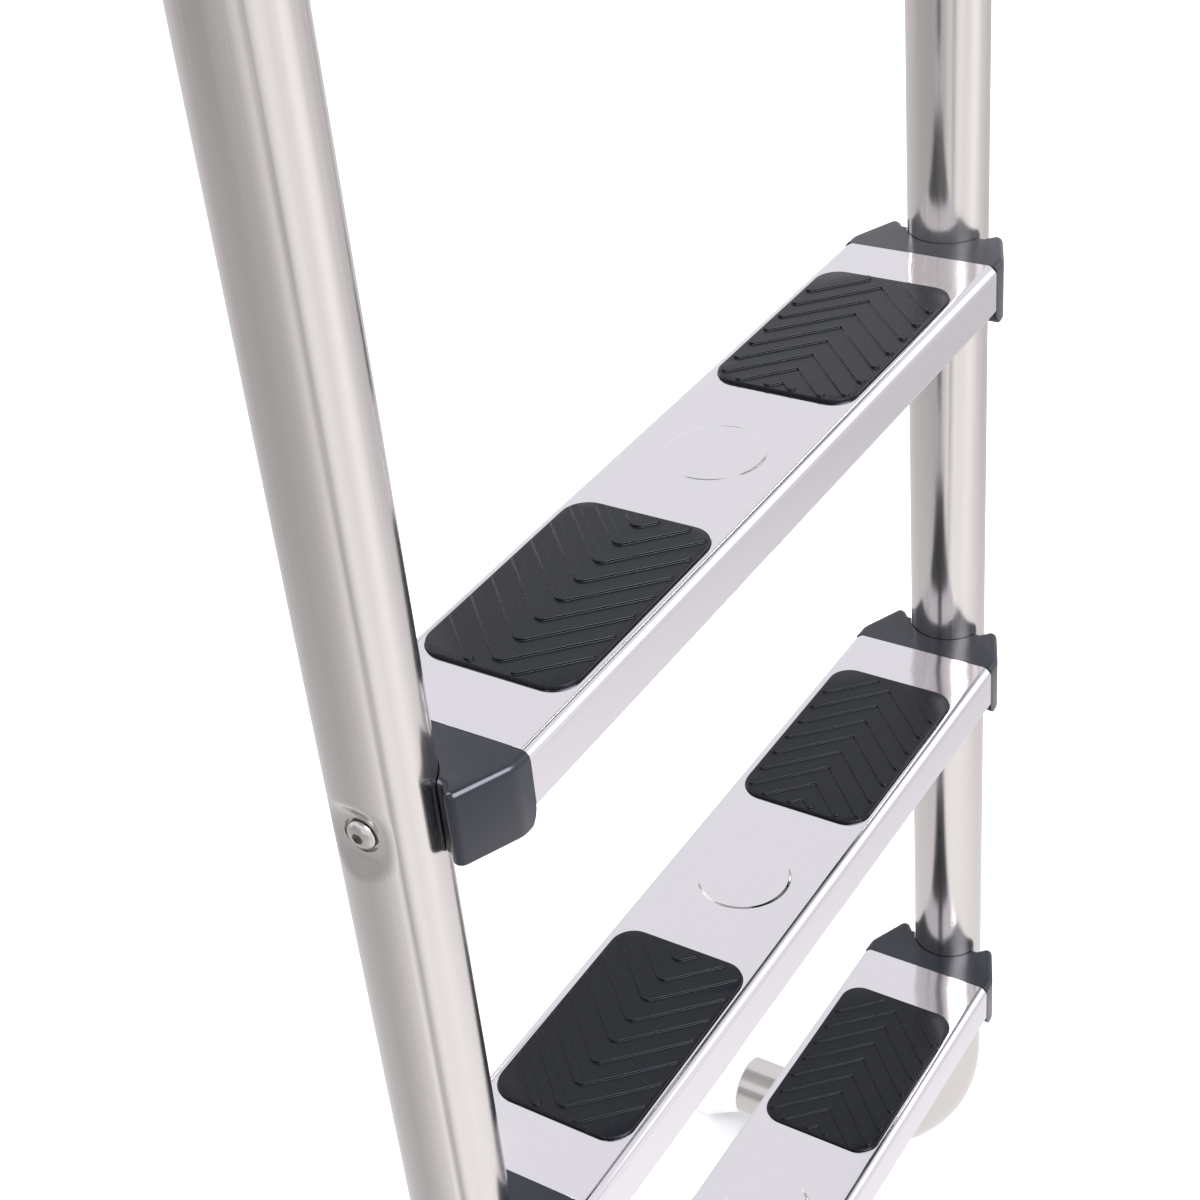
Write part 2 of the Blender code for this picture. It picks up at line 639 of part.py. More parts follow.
def main():
    clear_scene()
    home = new_collection("boarding_ladder")
    ladder = bpy.data.collections.new("ladder")
    deck = bpy.data.collections.new("deck_hinges")
    home.children.link(ladder)
    home.children.link(deck)
    build_sides(ladder, deck)
    build_treads(ladder)
    hang_on_pivot(ladder)


main()
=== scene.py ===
"""Boat boarding ladder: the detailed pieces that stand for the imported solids, their finishes and a studio.

Metres, +Z up. The deck plane is z = 0. -Y is outboard, where the climber stands, and -X is the left side.
"""

import math

import bmesh
import bpy
from bpy.props import FloatProperty, IntProperty, PointerProperty, StringProperty
from mathutils import Matrix, Vector


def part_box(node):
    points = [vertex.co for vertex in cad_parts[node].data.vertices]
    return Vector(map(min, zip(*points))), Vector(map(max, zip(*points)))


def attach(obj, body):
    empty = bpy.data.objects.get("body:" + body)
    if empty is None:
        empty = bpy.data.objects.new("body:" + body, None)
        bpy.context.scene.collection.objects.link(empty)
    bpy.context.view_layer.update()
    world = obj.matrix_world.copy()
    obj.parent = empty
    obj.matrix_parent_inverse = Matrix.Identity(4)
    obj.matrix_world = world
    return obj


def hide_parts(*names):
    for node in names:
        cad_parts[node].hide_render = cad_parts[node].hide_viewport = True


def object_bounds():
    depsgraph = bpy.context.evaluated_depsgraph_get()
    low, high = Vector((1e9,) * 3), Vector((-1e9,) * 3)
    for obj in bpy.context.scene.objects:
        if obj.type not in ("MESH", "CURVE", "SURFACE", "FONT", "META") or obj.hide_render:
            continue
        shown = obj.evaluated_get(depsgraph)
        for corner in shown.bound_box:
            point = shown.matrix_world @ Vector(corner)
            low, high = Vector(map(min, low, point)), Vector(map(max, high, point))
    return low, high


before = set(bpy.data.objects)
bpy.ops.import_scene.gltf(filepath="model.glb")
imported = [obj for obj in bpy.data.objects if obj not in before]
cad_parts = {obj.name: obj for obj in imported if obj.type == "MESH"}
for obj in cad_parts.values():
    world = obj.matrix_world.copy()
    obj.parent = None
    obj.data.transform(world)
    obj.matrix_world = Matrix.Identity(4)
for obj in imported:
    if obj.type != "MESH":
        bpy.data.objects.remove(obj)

bl_info = {
    "name": "Boarding Ladder",
    "version": (1, 0, 0),
    "blender": (4, 5, 0),
    "location": "3D View > Sidebar > Boarding Ladder",
    "description": "Builds a stainless boarding ladder with padded treads and deck hinges",
    "category": "Add Mesh",
}

CAD_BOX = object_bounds()
MM = 0.001

RAIL_LOW, RAIL_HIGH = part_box("rail_left")
RAIL_X = -(RAIL_LOW.x + RAIL_HIGH.x) / 2
TUBE_R = (RAIL_HIGH.x - RAIL_LOW.x) / 2
RAIL_Y = RAIL_LOW.y + TUBE_R
LOWER_LEG_Z = RAIL_LOW.z + TUBE_R
ARCH_TOP_Z = RAIL_HIGH.z - TUBE_R
TREAD_TOPS = [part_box(f"tread_{number}")[1].z for number in (1, 2, 3)]
TREAD_HALF_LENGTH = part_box("tread_1")[1].x
TREAD_HALF_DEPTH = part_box("tread_1")[1].y - RAIL_Y
PIVOT_Z = (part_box("hinge_pin_left")[0].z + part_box("hinge_pin_left")[1].z) / 2

TUBE_WALL = 1.5 * MM
LOWER_BEND_R = 120 * MM
ARCH_BEND_R = 180 * MM
LOWER_LEG_END = 158 * MM
COLLAR_TOP = 30 * MM
GAP = 0.3 * MM
BOLT_DROP = 16 * MM
BOLT_BORE_R = 4.3 * MM
PIN_BORE_R = 5.3 * MM
SPIGOT_R = 18.9 * MM
FOOT_SCREW_UP = 50 * MM
TUBE_STEPS = 72
BEND_STEPS = 36
TURN_STEPS = 64
HALF_TURN = Matrix.Rotation(math.pi, 4, "Z")
ACROSS = Matrix.Translation((2 * RAIL_X, 0.0, 0.0))


class LadderSizes(bpy.types.PropertyGroup):
    """Sizes that set the detail of the ladder's pieces."""

    fold_radius: FloatProperty(
        name="Tread fold", description="Outside radius of the tread's long folds", default=5 * MM,
        unit="LENGTH",
    )
    skirt_depth: FloatProperty(
        name="Tread skirt", description="Height of the tread's folded sides", default=27 * MM, unit="LENGTH"
    )
    sheet: FloatProperty(
        name="Sheet", description="Thickness of the tread's sheet", default=1 * MM, unit="LENGTH"
    )
    disc_radius: FloatProperty(
        name="Tread disc", description="Radius of the plain disc pressed in each tread", default=24.2 * MM,
        unit="LENGTH",
    )
    rib_pitch: FloatProperty(
        name="Rib pitch", description="Spacing of the pad's V ribs along the tread", default=15 * MM,
        unit="LENGTH",
    )
    rib_width: FloatProperty(
        name="Rib width", description="Width of one pad rib", default=4.2 * MM, unit="LENGTH"
    )
    rib_height: FloatProperty(
        name="Rib height", description="How far the ribs stand above the pad", default=1.0 * MM, unit="LENGTH"
    )
    rib_count: IntProperty(
        name="Ribs", description="V ribs on each pad, with those cut short at its corners", default=9, min=1
    )
    cap_round: FloatProperty(
        name="Cap rounding", description="Radius of the end cap's upper edge", default=3.2 * MM, unit="LENGTH"
    )
    seat_radius: FloatProperty(
        name="Bolt seat", description="Radius of the seat sunk in the rail for a bolt's head",
        default=7.8 * MM, unit="LENGTH",
    )
    seat_depth: FloatProperty(
        name="Bolt seat depth", description="How far the bolt's seat is sunk below the rail's surface",
        default=6.3 * MM, unit="LENGTH",
    )
    dimple_depth: FloatProperty(
        name="Dimple", description="How far the tube is pressed in round the seat", default=4.8 * MM,
        unit="LENGTH",
    )
    dimple_width: FloatProperty(
        name="Dimple width", description="Distance from the seat's middle to the dimple's outer edge",
        default=19.0 * MM, unit="LENGTH",
    )


class LadderColours(bpy.types.PropertyGroup):
    """Surface colours, as sRGB hex."""

    tube: StringProperty(name="Rails", description="Colour of the polished tube", default="#cfcbc9")
    sheet: StringProperty(name="Treads", description="Colour of the polished sheet", default="#d9d6dc")
    casting: StringProperty(name="Hinges", description="Colour of the satin stainless", default="#c4c2c0")
    fastener: StringProperty(name="Fasteners", description="Colour of bolts and pins", default="#cdcbc9")
    rubber: StringProperty(name="Pads", description="Colour of the moulded rubber pads", default="#0a0c10")
    nylon: StringProperty(name="Caps and knobs", description="Colour of the black nylon", default="#15171d")
    bumper: StringProperty(name="Bumpers", description="Colour of the moulded bumpers", default="#f1f1f3")
    washer: StringProperty(name="Slip washers", description="Colour of the white nylon", default="#eceae4")
    floor: StringProperty(name="Floor", description="Colour of the studio floor", default="#fbfbfc")


# Black polymers with a trace of blue pigment reflect a little cooler than they are lit.
COOL = (0.86, 0.89, 1.0, 1.0)


def linear(code):
    """An sRGB hex colour as linear red, green, blue and alpha."""
    channels = [int(code[i:i + 2], 16) / 255 for i in (1, 3, 5)]
    return [c / 12.92 if c <= 0.04045 else ((c + 0.055) / 1.055) ** 2.4 for c in channels] + [1.0]


def add(tree, kind, settings=None, links=None):
    """Adds a node, sets its properties or input values, and links its inputs to (node, output) pairs."""
    made = tree.nodes.new(kind)
    for key, value in (settings or {}).items():
        if isinstance(key, str) and hasattr(made, key):
            setattr(made, key, value)
        else:
            made.inputs[key].default_value = value
    for key, (source, output) in (links or {}).items():
        tree.links.new(source.outputs[output], made.inputs[key])
    return made


def new_material(name, shader_settings):
    """A material with one Principled shader, and the tree and shader to add detail to."""
    material = bpy.data.materials.new(name)
    material.use_nodes = True
    tree = material.node_tree
    tree.nodes.clear()
    shader = add(tree, "ShaderNodeBsdfPrincipled", shader_settings)
    add(tree, "ShaderNodeOutputMaterial", links={"Surface": (shader, "BSDF")})
    return material, tree, shader


def grained(name, settings, code, scale, shift, roughness, spread, bump, distance, source="Object"):
    """A finish whose stretched noise varies its colour and roughness a little and gives it a fine relief."""
    material, tree, shader = new_material(name, settings)
    place = add(tree, "ShaderNodeTexCoord")
    mapping = add(tree, "ShaderNodeMapping", {"Scale": scale}, {"Vector": (place, source)})
    octaves = {"Scale": 1.0, "Detail": 3.0, "Roughness": 0.6}
    noise = add(tree, "ShaderNodeTexNoise", octaves, {"Vector": (mapping, 0)})
    colour = linear(code)[:3]
    low = [c * (1 - shift) for c in colour] + [1.0]
    high = [min(1.0, c * (1 + shift)) for c in colour] + [1.0]
    tint = add(tree, "ShaderNodeMix", {"data_type": "RGBA", 6: low, 7: high}, {0: (noise, "Fac")})
    gloss = add(
        tree, "ShaderNodeMapRange",
        {"From Min": 0.3, "From Max": 0.7, "To Min": roughness - spread, "To Max": roughness + spread},
        {"Value": (noise, "Fac")},
    )
    relief = add(tree, "ShaderNodeBump", {"Strength": bump, "Distance": distance}, {"Height": (noise, "Fac")})
    tree.links.new(tint.outputs[2], shader.inputs["Base Color"])
    tree.links.new(gloss.outputs[0], shader.inputs["Roughness"])
    tree.links.new(relief.outputs[0], shader.inputs["Normal"])
    return material


def polished_stainless_tube(colours):
    """Drawn stainless tube, buffed along its length: soft bands of light with fine lines down them."""
    # Drawing lines, about 0.7 mm apart round the tube and 90 mm long.
    return grained(
        "polished_stainless_tube", {"Metallic": 1.0}, colours.tube, (1 / 0.0007, 1 / 0.090, 1.0),
        shift=0.045, roughness=0.19, spread=0.045, bump=0.10, distance=0.03 * MM, source="UV",
    )


def polished_stainless_sheet(colours):
    """Cold-rolled stainless sheet with a bright polish: near mirror, with a faint grain along the tread."""
    # Rolling grain, about 0.5 mm wide and 40 mm long.
    return grained(
        "polished_stainless_sheet", {"Metallic": 1.0}, colours.sheet, (1 / 0.040, 1 / 0.0005, 1 / 0.0005),
        shift=0.02, roughness=0.10, spread=0.025, bump=0.03, distance=0.02 * MM,
    )


def satin_stainless_casting(colours):
    """Cast stainless, tumbled to a satin: soft reflections with a fine even texture."""
    # Tumbled skin, about 1.1 mm across.
    return grained(
        "satin_stainless_casting", {"Metallic": 1.0}, colours.casting, (900.0, 900.0, 900.0),
        shift=0.05, roughness=0.26, spread=0.05, bump=0.10, distance=0.03 * MM,
    )


def bright_stainless_fastener(colours):
    """Cold-headed stainless screws and pins: bright, with faint marks from the header."""
    # Header marks, about 0.4 mm apart along the screw and 1.4 mm long.
    return grained(
        "bright_stainless_fastener", {"Metallic": 1.0}, colours.fastener, (2500.0, 700.0, 700.0),
        shift=0.04, roughness=0.18, spread=0.04, bump=0.06, distance=0.02 * MM,
    )


def moulded_rubber(colours):
    """EPDM rubber from a polished mould: near-black with a low sheen that catches the ribs' edges."""
    settings = {"IOR": 1.52, "Specular IOR Level": 0.24, "Specular Tint": COOL}
    # The mould's blasted skin has about 0.4 mm grain.
    return grained(
        "moulded_epdm_rubber", settings, colours.rubber, (2500.0, 2500.0, 2500.0),
        shift=0.10, roughness=0.28, spread=0.04, bump=0.08, distance=0.04 * MM,
    )


def moulded_nylon(colours):
    """Black nylon from a polished mould: satin gloss that draws a crisp light line on each rounded edge."""
    settings = {"IOR": 1.53, "Specular IOR Level": 0.46, "Specular Tint": COOL}
    # Flow texture of the moulding, about 1.5 mm across.
    return grained(
        "moulded_black_nylon", settings, colours.nylon, (650.0, 650.0, 650.0),
        shift=0.08, roughness=0.24, spread=0.03, bump=0.03, distance=0.04 * MM,
    )


def moulded_polyethylene(colours):
    """Natural low-density polyethylene: milky white that lets a little light through."""
    settings = {"IOR": 1.51, "Subsurface Weight": 0.25, "Subsurface Scale": 3 * MM}
    # Flow texture of the moulding, about 2 mm across.
    return grained(
        "moulded_natural_polyethylene", settings, colours.bumper, (500.0, 500.0, 500.0),
        shift=0.02, roughness=0.38, spread=0.04, bump=0.04, distance=0.05 * MM,
    )


def machined_nylon(colours):
    """White nylon washers: matt, with faint turning marks."""
    # Turning marks, about 0.4 mm apart.
    return grained(
        "machined_white_nylon", {"IOR": 1.53}, colours.washer, (2500.0, 500.0, 500.0),
        shift=0.03, roughness=0.45, spread=0.04, bump=0.05, distance=0.03 * MM,
    )


def painted_floor(colours):
    """Matt painted studio floor."""
    settings = {"Base Color": linear(colours.floor), "Roughness": 0.9, "Specular IOR Level": 0.1}
    return new_material("matt_painted_floor", settings)[0]


FINISHES = {
    "rail_tube": polished_stainless_tube,
    "tread_sheet": polished_stainless_sheet,
    "hinge_steel": satin_stainless_casting,
    "fasteners": bright_stainless_fastener,
    "pad_rubber": moulded_rubber,
    "cap_plastic": moulded_nylon,
    "knob_plastic": moulded_nylon,
    "bumper_plastic": moulded_polyethylene,
    "washer_plastic": machined_nylon,
}
made_finishes = {}


def finish_for(context, slot):
    """The material for a record slot, made once."""
    maker = FINISHES[slot]
    if maker not in made_finishes:
        made_finishes[maker] = maker(context.scene.boarding_ladder_colours)
    return made_finishes[maker]


def face_out(mesh):
    """Turns each face of a closed mesh outwards."""
    work = bmesh.new()
    work.from_mesh(mesh)
    bmesh.ops.recalc_face_normals(work, faces=work.faces)
    work.to_mesh(mesh)
    work.free()


def mesh_of(points, faces):
    """A mesh whose faces all point outwards."""
    mesh = bpy.data.meshes.new("shape")
    mesh.from_pydata(points, [], faces)
    face_out(mesh)
    return mesh


def joined(meshes):
    """Several meshes as one."""
    work = bmesh.new()
    for mesh in meshes:
        work.from_mesh(mesh)
    whole = bpy.data.meshes.new("shape")
    work.to_mesh(whole)
    work.free()
    return whole


def placed(axis, a, b, h):
    """The point at height h along the axis, with a and b across it."""
    if axis == "X":
        return (h, a, b)
    if axis == "Y":
        return (a, h, b)
    return (a, b, h)


def skin(rings):
    """A closed body through rings of equal count, with flat ends."""
    count = len(rings[0])
    points = [point for ring in rings for point in ring]
    last = count * (len(rings) - 1)
    faces = [tuple(range(count)), tuple(range(last, last + count))]
    for low in range(0, last, count):
        for i in range(count):
            j = (i + 1) % count
            faces.append((low + i, low + j, low + count + j, low + count + i))
    return mesh_of(points, faces)


def prism(outline, low, high, axis):
    """An outline drawn straight along an axis."""
    return skin([[placed(axis, a, b, h) for a, b in outline] for h in (low, high)])


def arc(centre, radius, start, end, steps):
    """Points from one angle to another, in degrees, both ends included."""
    turns = [math.radians(start + (end - start) * i / steps) for i in range(steps + 1)]
    return [(centre[0] + radius * math.cos(t), centre[1] + radius * math.sin(t)) for t in turns]


def circle(radius, steps, centre=(0.0, 0.0)):
    """Points round a whole circle, the first not repeated."""
    return arc(centre, radius, 0, 360, steps)[:-1]


def hexagon(flats, centre):
    """A hexagon by its width across flats."""
    return circle(flats / math.sqrt(3), 6, centre)


def rounded_rectangle(half_a, half_b, radius, steps=12):
    """A rectangle about the origin by its half sizes and corner radius."""
    outline = []
    for sign_a, sign_b, start in ((1, 1, 0), (-1, 1, 90), (-1, -1, 180), (1, -1, 270)):
        centre = (sign_a * (half_a - radius), sign_b * (half_b - radius))
        outline += arc(centre, radius, start, start + 90, steps)
    return outline


def shrunk(outline, amount):
    """An anticlockwise outline moved in by an amount, along the mean of its edges' normals at each point."""
    moved = []
    count = len(outline)
    for i in range(count):
        before, here, after = outline[i - 1], outline[i], outline[(i + 1) % count]
        first = Vector((here[1] - before[1], before[0] - here[0])).normalized()
        second = Vector((after[1] - here[1], here[0] - after[0])).normalized()
        normal = first + second
        scale = 2 * amount / normal.length_squared
        moved.append((here[0] - normal.x * scale, here[1] - normal.y * scale))
    return moved


def turned(profile, axis, centre, steps=TURN_STEPS, ring=False):
    """A body turned from (radius, height) points. A ring's profile closes on itself."""
    points = []
    rows = []
    for radius, height in profile:
        spots = [centre] if radius == 0 else circle(radius, steps, centre)
        rows.append(range(len(points), len(points) + len(spots)))
        points += [placed(axis, a, b, height) for a, b in spots]
    faces = []
    pairs = list(zip(rows, rows[1:]))
    if ring:
        pairs.append((rows[-1], rows[0]))
    for low, high in pairs:
        for i in range(steps):
            j = (i + 1) % steps
            corners = (low[i % len(low)], low[j % len(low)], high[j % len(high)], high[i % len(high)])
            faces.append(tuple(dict.fromkeys(corners)))
    return mesh_of(points, faces)


def eased(profile, radius, steps=3):
    """The profile with each inner corner rounded."""
    points = [profile[0]]
    for before, here, after in zip(profile, profile[1:], profile[2:]):
        corner = Vector(here)
        back = Vector(before) - corner
        ahead = Vector(after) - corner
        reach = min(radius, back.length * 0.45, ahead.length * 0.45)
        start = corner + back.normalized() * reach
        end = corner + ahead.normalized() * reach
        for i in range(steps + 1):
            t = i / steps
            spot = start.lerp(corner, t).lerp(corner.lerp(end, t), t)
            points.append((spot.x, spot.y))
    points.append(profile[-1])
    return points


def combined(mesh, operation, tools):
    """The mesh after a Boolean with each tool mesh in turn."""
    base = bpy.data.objects.new("base", mesh)
    bpy.context.scene.collection.objects.link(base)
    helpers = []
    for tool in tools:
        helper = bpy.data.objects.new("tool", tool)
        bpy.context.scene.collection.objects.link(helper)
        modifier = base.modifiers.new("boolean", "BOOLEAN")
        modifier.operation = operation
        modifier.solver = "EXACT"
        modifier.object = helper
        helpers.append(helper)
    graph = bpy.context.evaluated_depsgraph_get()
    result = bpy.data.meshes.new_from_object(base.evaluated_get(graph))
    for obj in [base] + helpers:
        bpy.data.objects.remove(obj, do_unlink=True)
    if not result.polygons:
        raise RuntimeError("a Boolean left nothing of its shape")
    return result


def mirrored(mesh):
    """The mesh turned over the plane x = 0, still facing outwards."""
    other = mesh.copy()
    other.transform(Matrix.Diagonal((-1.0, 1.0, 1.0, 1.0)))
    other.flip_normals()
    return other


def piece(context, name, mesh, slot, body, node, place=None, edge=0.0, sharp=32):
    """One shown piece: its material, softened edges, the body it rides on and the solid it stands for."""
    own = mesh.copy()
    own.name = name
    own.materials.clear()
    own.materials.append(finish_for(context, slot))
    own.shade_smooth()
    if not edge:
        own.set_sharp_from_angle(angle=math.radians(sharp))
    obj = bpy.data.objects.new(name, own)
    context.scene.collection.objects.link(obj)
    if edge:
        bevel = obj.modifiers.new("soft_edges", "BEVEL")
        bevel.width = edge
        bevel.segments = 3
        bevel.limit_method = "ANGLE"
        bevel.angle_limit = math.radians(sharp)
        bevel.harden_normals = True
        bevel.use_clamp_overlap = True
    if place is not None:
        obj.matrix_world = place
        context.view_layer.update()
    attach(obj, body)
    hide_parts(node)
    return obj


def rail_stations():
    """(y, z, heading, run) down the tube's centre line, close together round each bolt seat."""
    stations = [(RAIL_Y + LOWER_LEG_END, LOWER_LEG_Z, 180)]
    bends = (
        (RAIL_Y + LOWER_BEND_R, LOWER_LEG_Z + LOWER_BEND_R, LOWER_BEND_R, 270, 180),
        (RAIL_Y + ARCH_BEND_R, ARCH_TOP_Z - ARCH_BEND_R, ARCH_BEND_R, 180, 90),
        (-ARCH_BEND_R, ARCH_TOP_Z - ARCH_BEND_R, ARCH_BEND_R, 90, 0),
    )
    for number, (y, z, radius, start, end) in enumerate(bends):
        for i in range(BEND_STEPS + 1):
            turn = start + (end - start) * i / BEND_STEPS
            a, b = arc((y, z), radius, turn, turn, 1)[0]
            stations.append((a, b, turn - 90))
        if number == 0:
            for top in reversed(TREAD_TOPS):
                for step in range(-20, 21):
                    stations.append((RAIL_Y, top - BOLT_DROP + step * MM, 90))
    stations.append((0.0, PIVOT_Z + COLLAR_TOP + GAP, -90))
    runs = [0.0]
    for before, here in zip(stations, stations[1:]):
        runs.append(runs[-1] + math.hypot(here[0] - before[0], here[1] - before[1]))
    return [(*station, run) for station, run in zip(stations, runs)]


def pressed(sizes, radius, x, y, z):
    """How far the tube's wall is drawn in towards a flat round the nearest bolt seat."""
    flat = -radius + sizes.dimple_depth
    near = min(math.hypot(y, z - top + BOLT_DROP) for top in TREAD_TOPS)
    if x > flat or near > sizes.dimple_width:
        return 0.0
    t = 1 - max(0.0, near - sizes.seat_radius) / (sizes.dimple_width - sizes.seat_radius)
    return (flat - x) * t * t * (3 - 2 * t)


def tube_ring(sizes, station, radius):
    """One ring of the tube's wall, drawn in where it passes a bolt seat."""
    y, z, heading, _ = station
    across = math.radians(heading + 90)
    ring = []
    for a, b in circle(radius, TUBE_STEPS):
        spot_y = y + b * math.cos(across)
        spot_z = z + b * math.sin(across)
        draw = pressed(sizes, radius, a, spot_y - RAIL_Y, spot_z) if heading == 90 else 0.0
        ring.append((-RAIL_X + a + draw, spot_y, spot_z))
    return ring


def seat_cup(sizes, height):
    """The left rail's round cup under a bolt's head, open in the middle for the shank."""
    floor = -RAIL_X - TUBE_R + sizes.seat_depth
    rim = -RAIL_X - TUBE_R + sizes.dimple_depth + 0.4 * MM
    outer = sizes.seat_radius + 1 * MM
    profile = [(BOLT_BORE_R, floor), (sizes.seat_radius, floor), (sizes.seat_radius, rim), (outer, rim)]
    profile += [(outer, floor + TUBE_WALL), (BOLT_BORE_R, floor + TUBE_WALL)]
    return turned(profile, "X", (RAIL_Y, height), ring=True)


def rail_mesh(sizes):
    """The left rail: a bent tube with a pressed dimple round each bolt's seat."""
    stations = rail_stations()
    rows = [(station, TUBE_R) for station in stations]
    rows += [(station, TUBE_R - TUBE_WALL) for station in reversed(stations)]
    points = [point for station, radius in rows for point in tube_ring(sizes, station, radius)]
    mesh = bpy.data.meshes.new("rail")
    faces = []
    uvs = []
    for row in range(len(rows)):
        after = (row + 1) % len(rows)
        runs = (rows[row][0][3], rows[after][0][3])
        low, high = row * TUBE_STEPS, after * TUBE_STEPS
        for i in range(TUBE_STEPS):
            j = (i + 1) % TUBE_STEPS
            faces.append((low + i, low + j, high + j, high + i))
            around = [2 * math.pi * TUBE_R * k / TUBE_STEPS for k in (i, i + 1)]
            uvs += [(around[0], runs[0]), (around[1], runs[0]), (around[1], runs[1]), (around[0], runs[1])]
    mesh.from_pydata(points, [], faces)
    layer = mesh.uv_layers.new(name="along_tube")
    for loop, uv in zip(layer.data, uvs):
        loop.uv = uv
    face_out(mesh)
    return mesh


def seat_drills(sizes):
    """The cutters for the bolt seats in the left rail's outer wall and the bolt holes in its inner wall."""
    for top in TREAD_TOPS:
        centre = (RAIL_Y, top - BOLT_DROP)
        outside = -RAIL_X - TUBE_R - 5 * MM
        yield prism(circle(sizes.seat_radius, 64, centre), outside, -RAIL_X - TUBE_R + sizes.seat_depth, "X")
        yield prism(circle(BOLT_BORE_R, 32, centre), -RAIL_X, -RAIL_X + TUBE_R + 5 * MM, "X")


class LADDER_OT_rails(bpy.types.Operator):
    """Build the two bent rails with their sunk bolt seats."""

    bl_idname = "boarding_ladder.rails"
    bl_label = "Rails"

    def execute(self, context):
        sizes = context.scene.boarding_ladder_sizes
        cut = combined(rail_mesh(sizes), "DIFFERENCE", [joined(seat_drills(sizes))])
        left = joined([cut] + [seat_cup(sizes, top - BOLT_DROP) for top in TREAD_TOPS])
        piece(context, "rail_left_tube", left, "rail_tube", "ladder", "rail_left", sharp=40)
        piece(context, "rail_right_tube", mirrored(left), "rail_tube", "ladder", "rail_right", sharp=40)
        return {"FINISHED"}


def tread_outline(sizes):
    """The folded channel's section, in Y and Z, with its top at z = 0."""
    side = TREAD_HALF_DEPTH
    foot = -sizes.skirt_depth
    lip_fold = 3 * MM
    lip = side - 8 * MM
    outer = arc((side - sizes.fold_radius, -sizes.fold_radius), sizes.fold_radius, 90, 0, 12)
    outer += arc((side - lip_fold, foot + lip_fold), lip_fold, 0, -90, 8)
    outer.append((lip, foot))
    inner = [(lip, foot + sizes.sheet)]
    inner += arc((side - lip_fold, foot + lip_fold), lip_fold - sizes.sheet, -90, 0, 8)
    inner += arc((side - sizes.fold_radius, -sizes.fold_radius), sizes.fold_radius - sizes.sheet, 0, 90, 12)
    right = outer + inner
    left = [(-y, z) for y, z in reversed(right)]
    return left[len(inner):] + right + left[:len(inner)]


PAD_LOW, PAD_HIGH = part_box("pad_1_left")
PAD_FLANGE_X = 2.1 * MM
PAD_FLANGE_Y = 1.25 * MM
PAD_CENTRE_X = -(PAD_LOW.x + PAD_HIGH.x) / 2
PAD_HALF_X = (PAD_HIGH.x - PAD_LOW.x) / 2 - PAD_FLANGE_X
PAD_HALF_Y = (PAD_HIGH.y - PAD_LOW.y) / 2 - PAD_FLANGE_Y
PAD_CORNER_R = 12 * MM
PAD_STANDS = 1.5 * MM
FIRST_RIB = PAD_CENTRE_X - 71 * MM


def mark_disc_edge(mesh, radius):
    """Keeps the plate flat up to the circle where the pressed disc starts to rise."""
    close = 0.01 * MM
    for edge in mesh.edges:
        ends = [mesh.vertices[i].co for i in edge.vertices]
        edge.use_edge_sharp = all(
            abs(math.hypot(end.x, end.y - RAIL_Y) - radius) < close and abs(end.z) < close for end in ends
        )


def disc_mesh(sizes):
    """The pressed disc, raised by a soft slope round its edge."""
    edge = sizes.disc_radius
    height = 0.36 * MM
    slope = 1.8 * MM
    profile = [(0, -sizes.sheet / 2), (edge, -sizes.sheet / 2)]
    for i in range(9):
        t = i / 8
        profile.append((edge - slope * t, height * t * t * (3 - 2 * t)))
    profile += [(edge - slope - 0.8 * MM, height), (0, height)]
    return turned(profile, "Z", (0.0, RAIL_Y), steps=128)


def tread_mesh(sizes):
    """One tread, its top at z = 0: a folded channel with two pad windows and a raised plain disc."""
    outline = [(RAIL_Y + y, z) for y, z in tread_outline(sizes)]
    plate = prism(outline, -TREAD_HALF_LENGTH, TREAD_HALF_LENGTH, "X")
    window = rounded_rectangle(PAD_HALF_X + GAP, PAD_HALF_Y + GAP, PAD_CORNER_R + GAP)
    cutters = []
    for side in (-1, 1):
        shifted = [(side * PAD_CENTRE_X + x, RAIL_Y + y) for x, y in window]
        cutters.append(prism(shifted, -4 * MM, 4 * MM, "Z"))
    plate = combined(plate, "DIFFERENCE", [joined(cutters)])
    mesh = combined(plate, "UNION", [disc_mesh(sizes)])
    mark_disc_edge(mesh, sizes.disc_radius)
    return mesh


class LADDER_OT_treads(bpy.types.Operator):
    """Build the three folded treads."""

    bl_idname = "boarding_ladder.treads"
    bl_label = "Treads"

    def execute(self, context):
        mesh = tread_mesh(context.scene.boarding_ladder_sizes)
        for number, top in enumerate(TREAD_TOPS, start=1):
            lift = Matrix.Translation((0.0, 0.0, top))
            piece(
                context, f"tread_{number}_sheet", mesh, "tread_sheet", "ladder", f"tread_{number}", lift,
                edge=0.15 * MM, sharp=12,
            )
        return {"FINISHED"}


def in_field(x, y, margin):
    """True where a point, measured from the pad's middle, is at least a margin inside the pad's outline."""
    corner = PAD_CORNER_R - margin
    over_x = abs(x) - (PAD_HALF_X - margin - corner)
    over_y = abs(y) - (PAD_HALF_Y - margin - corner)
    return math.hypot(max(over_x, 0.0), max(over_y, 0.0)) <= corner


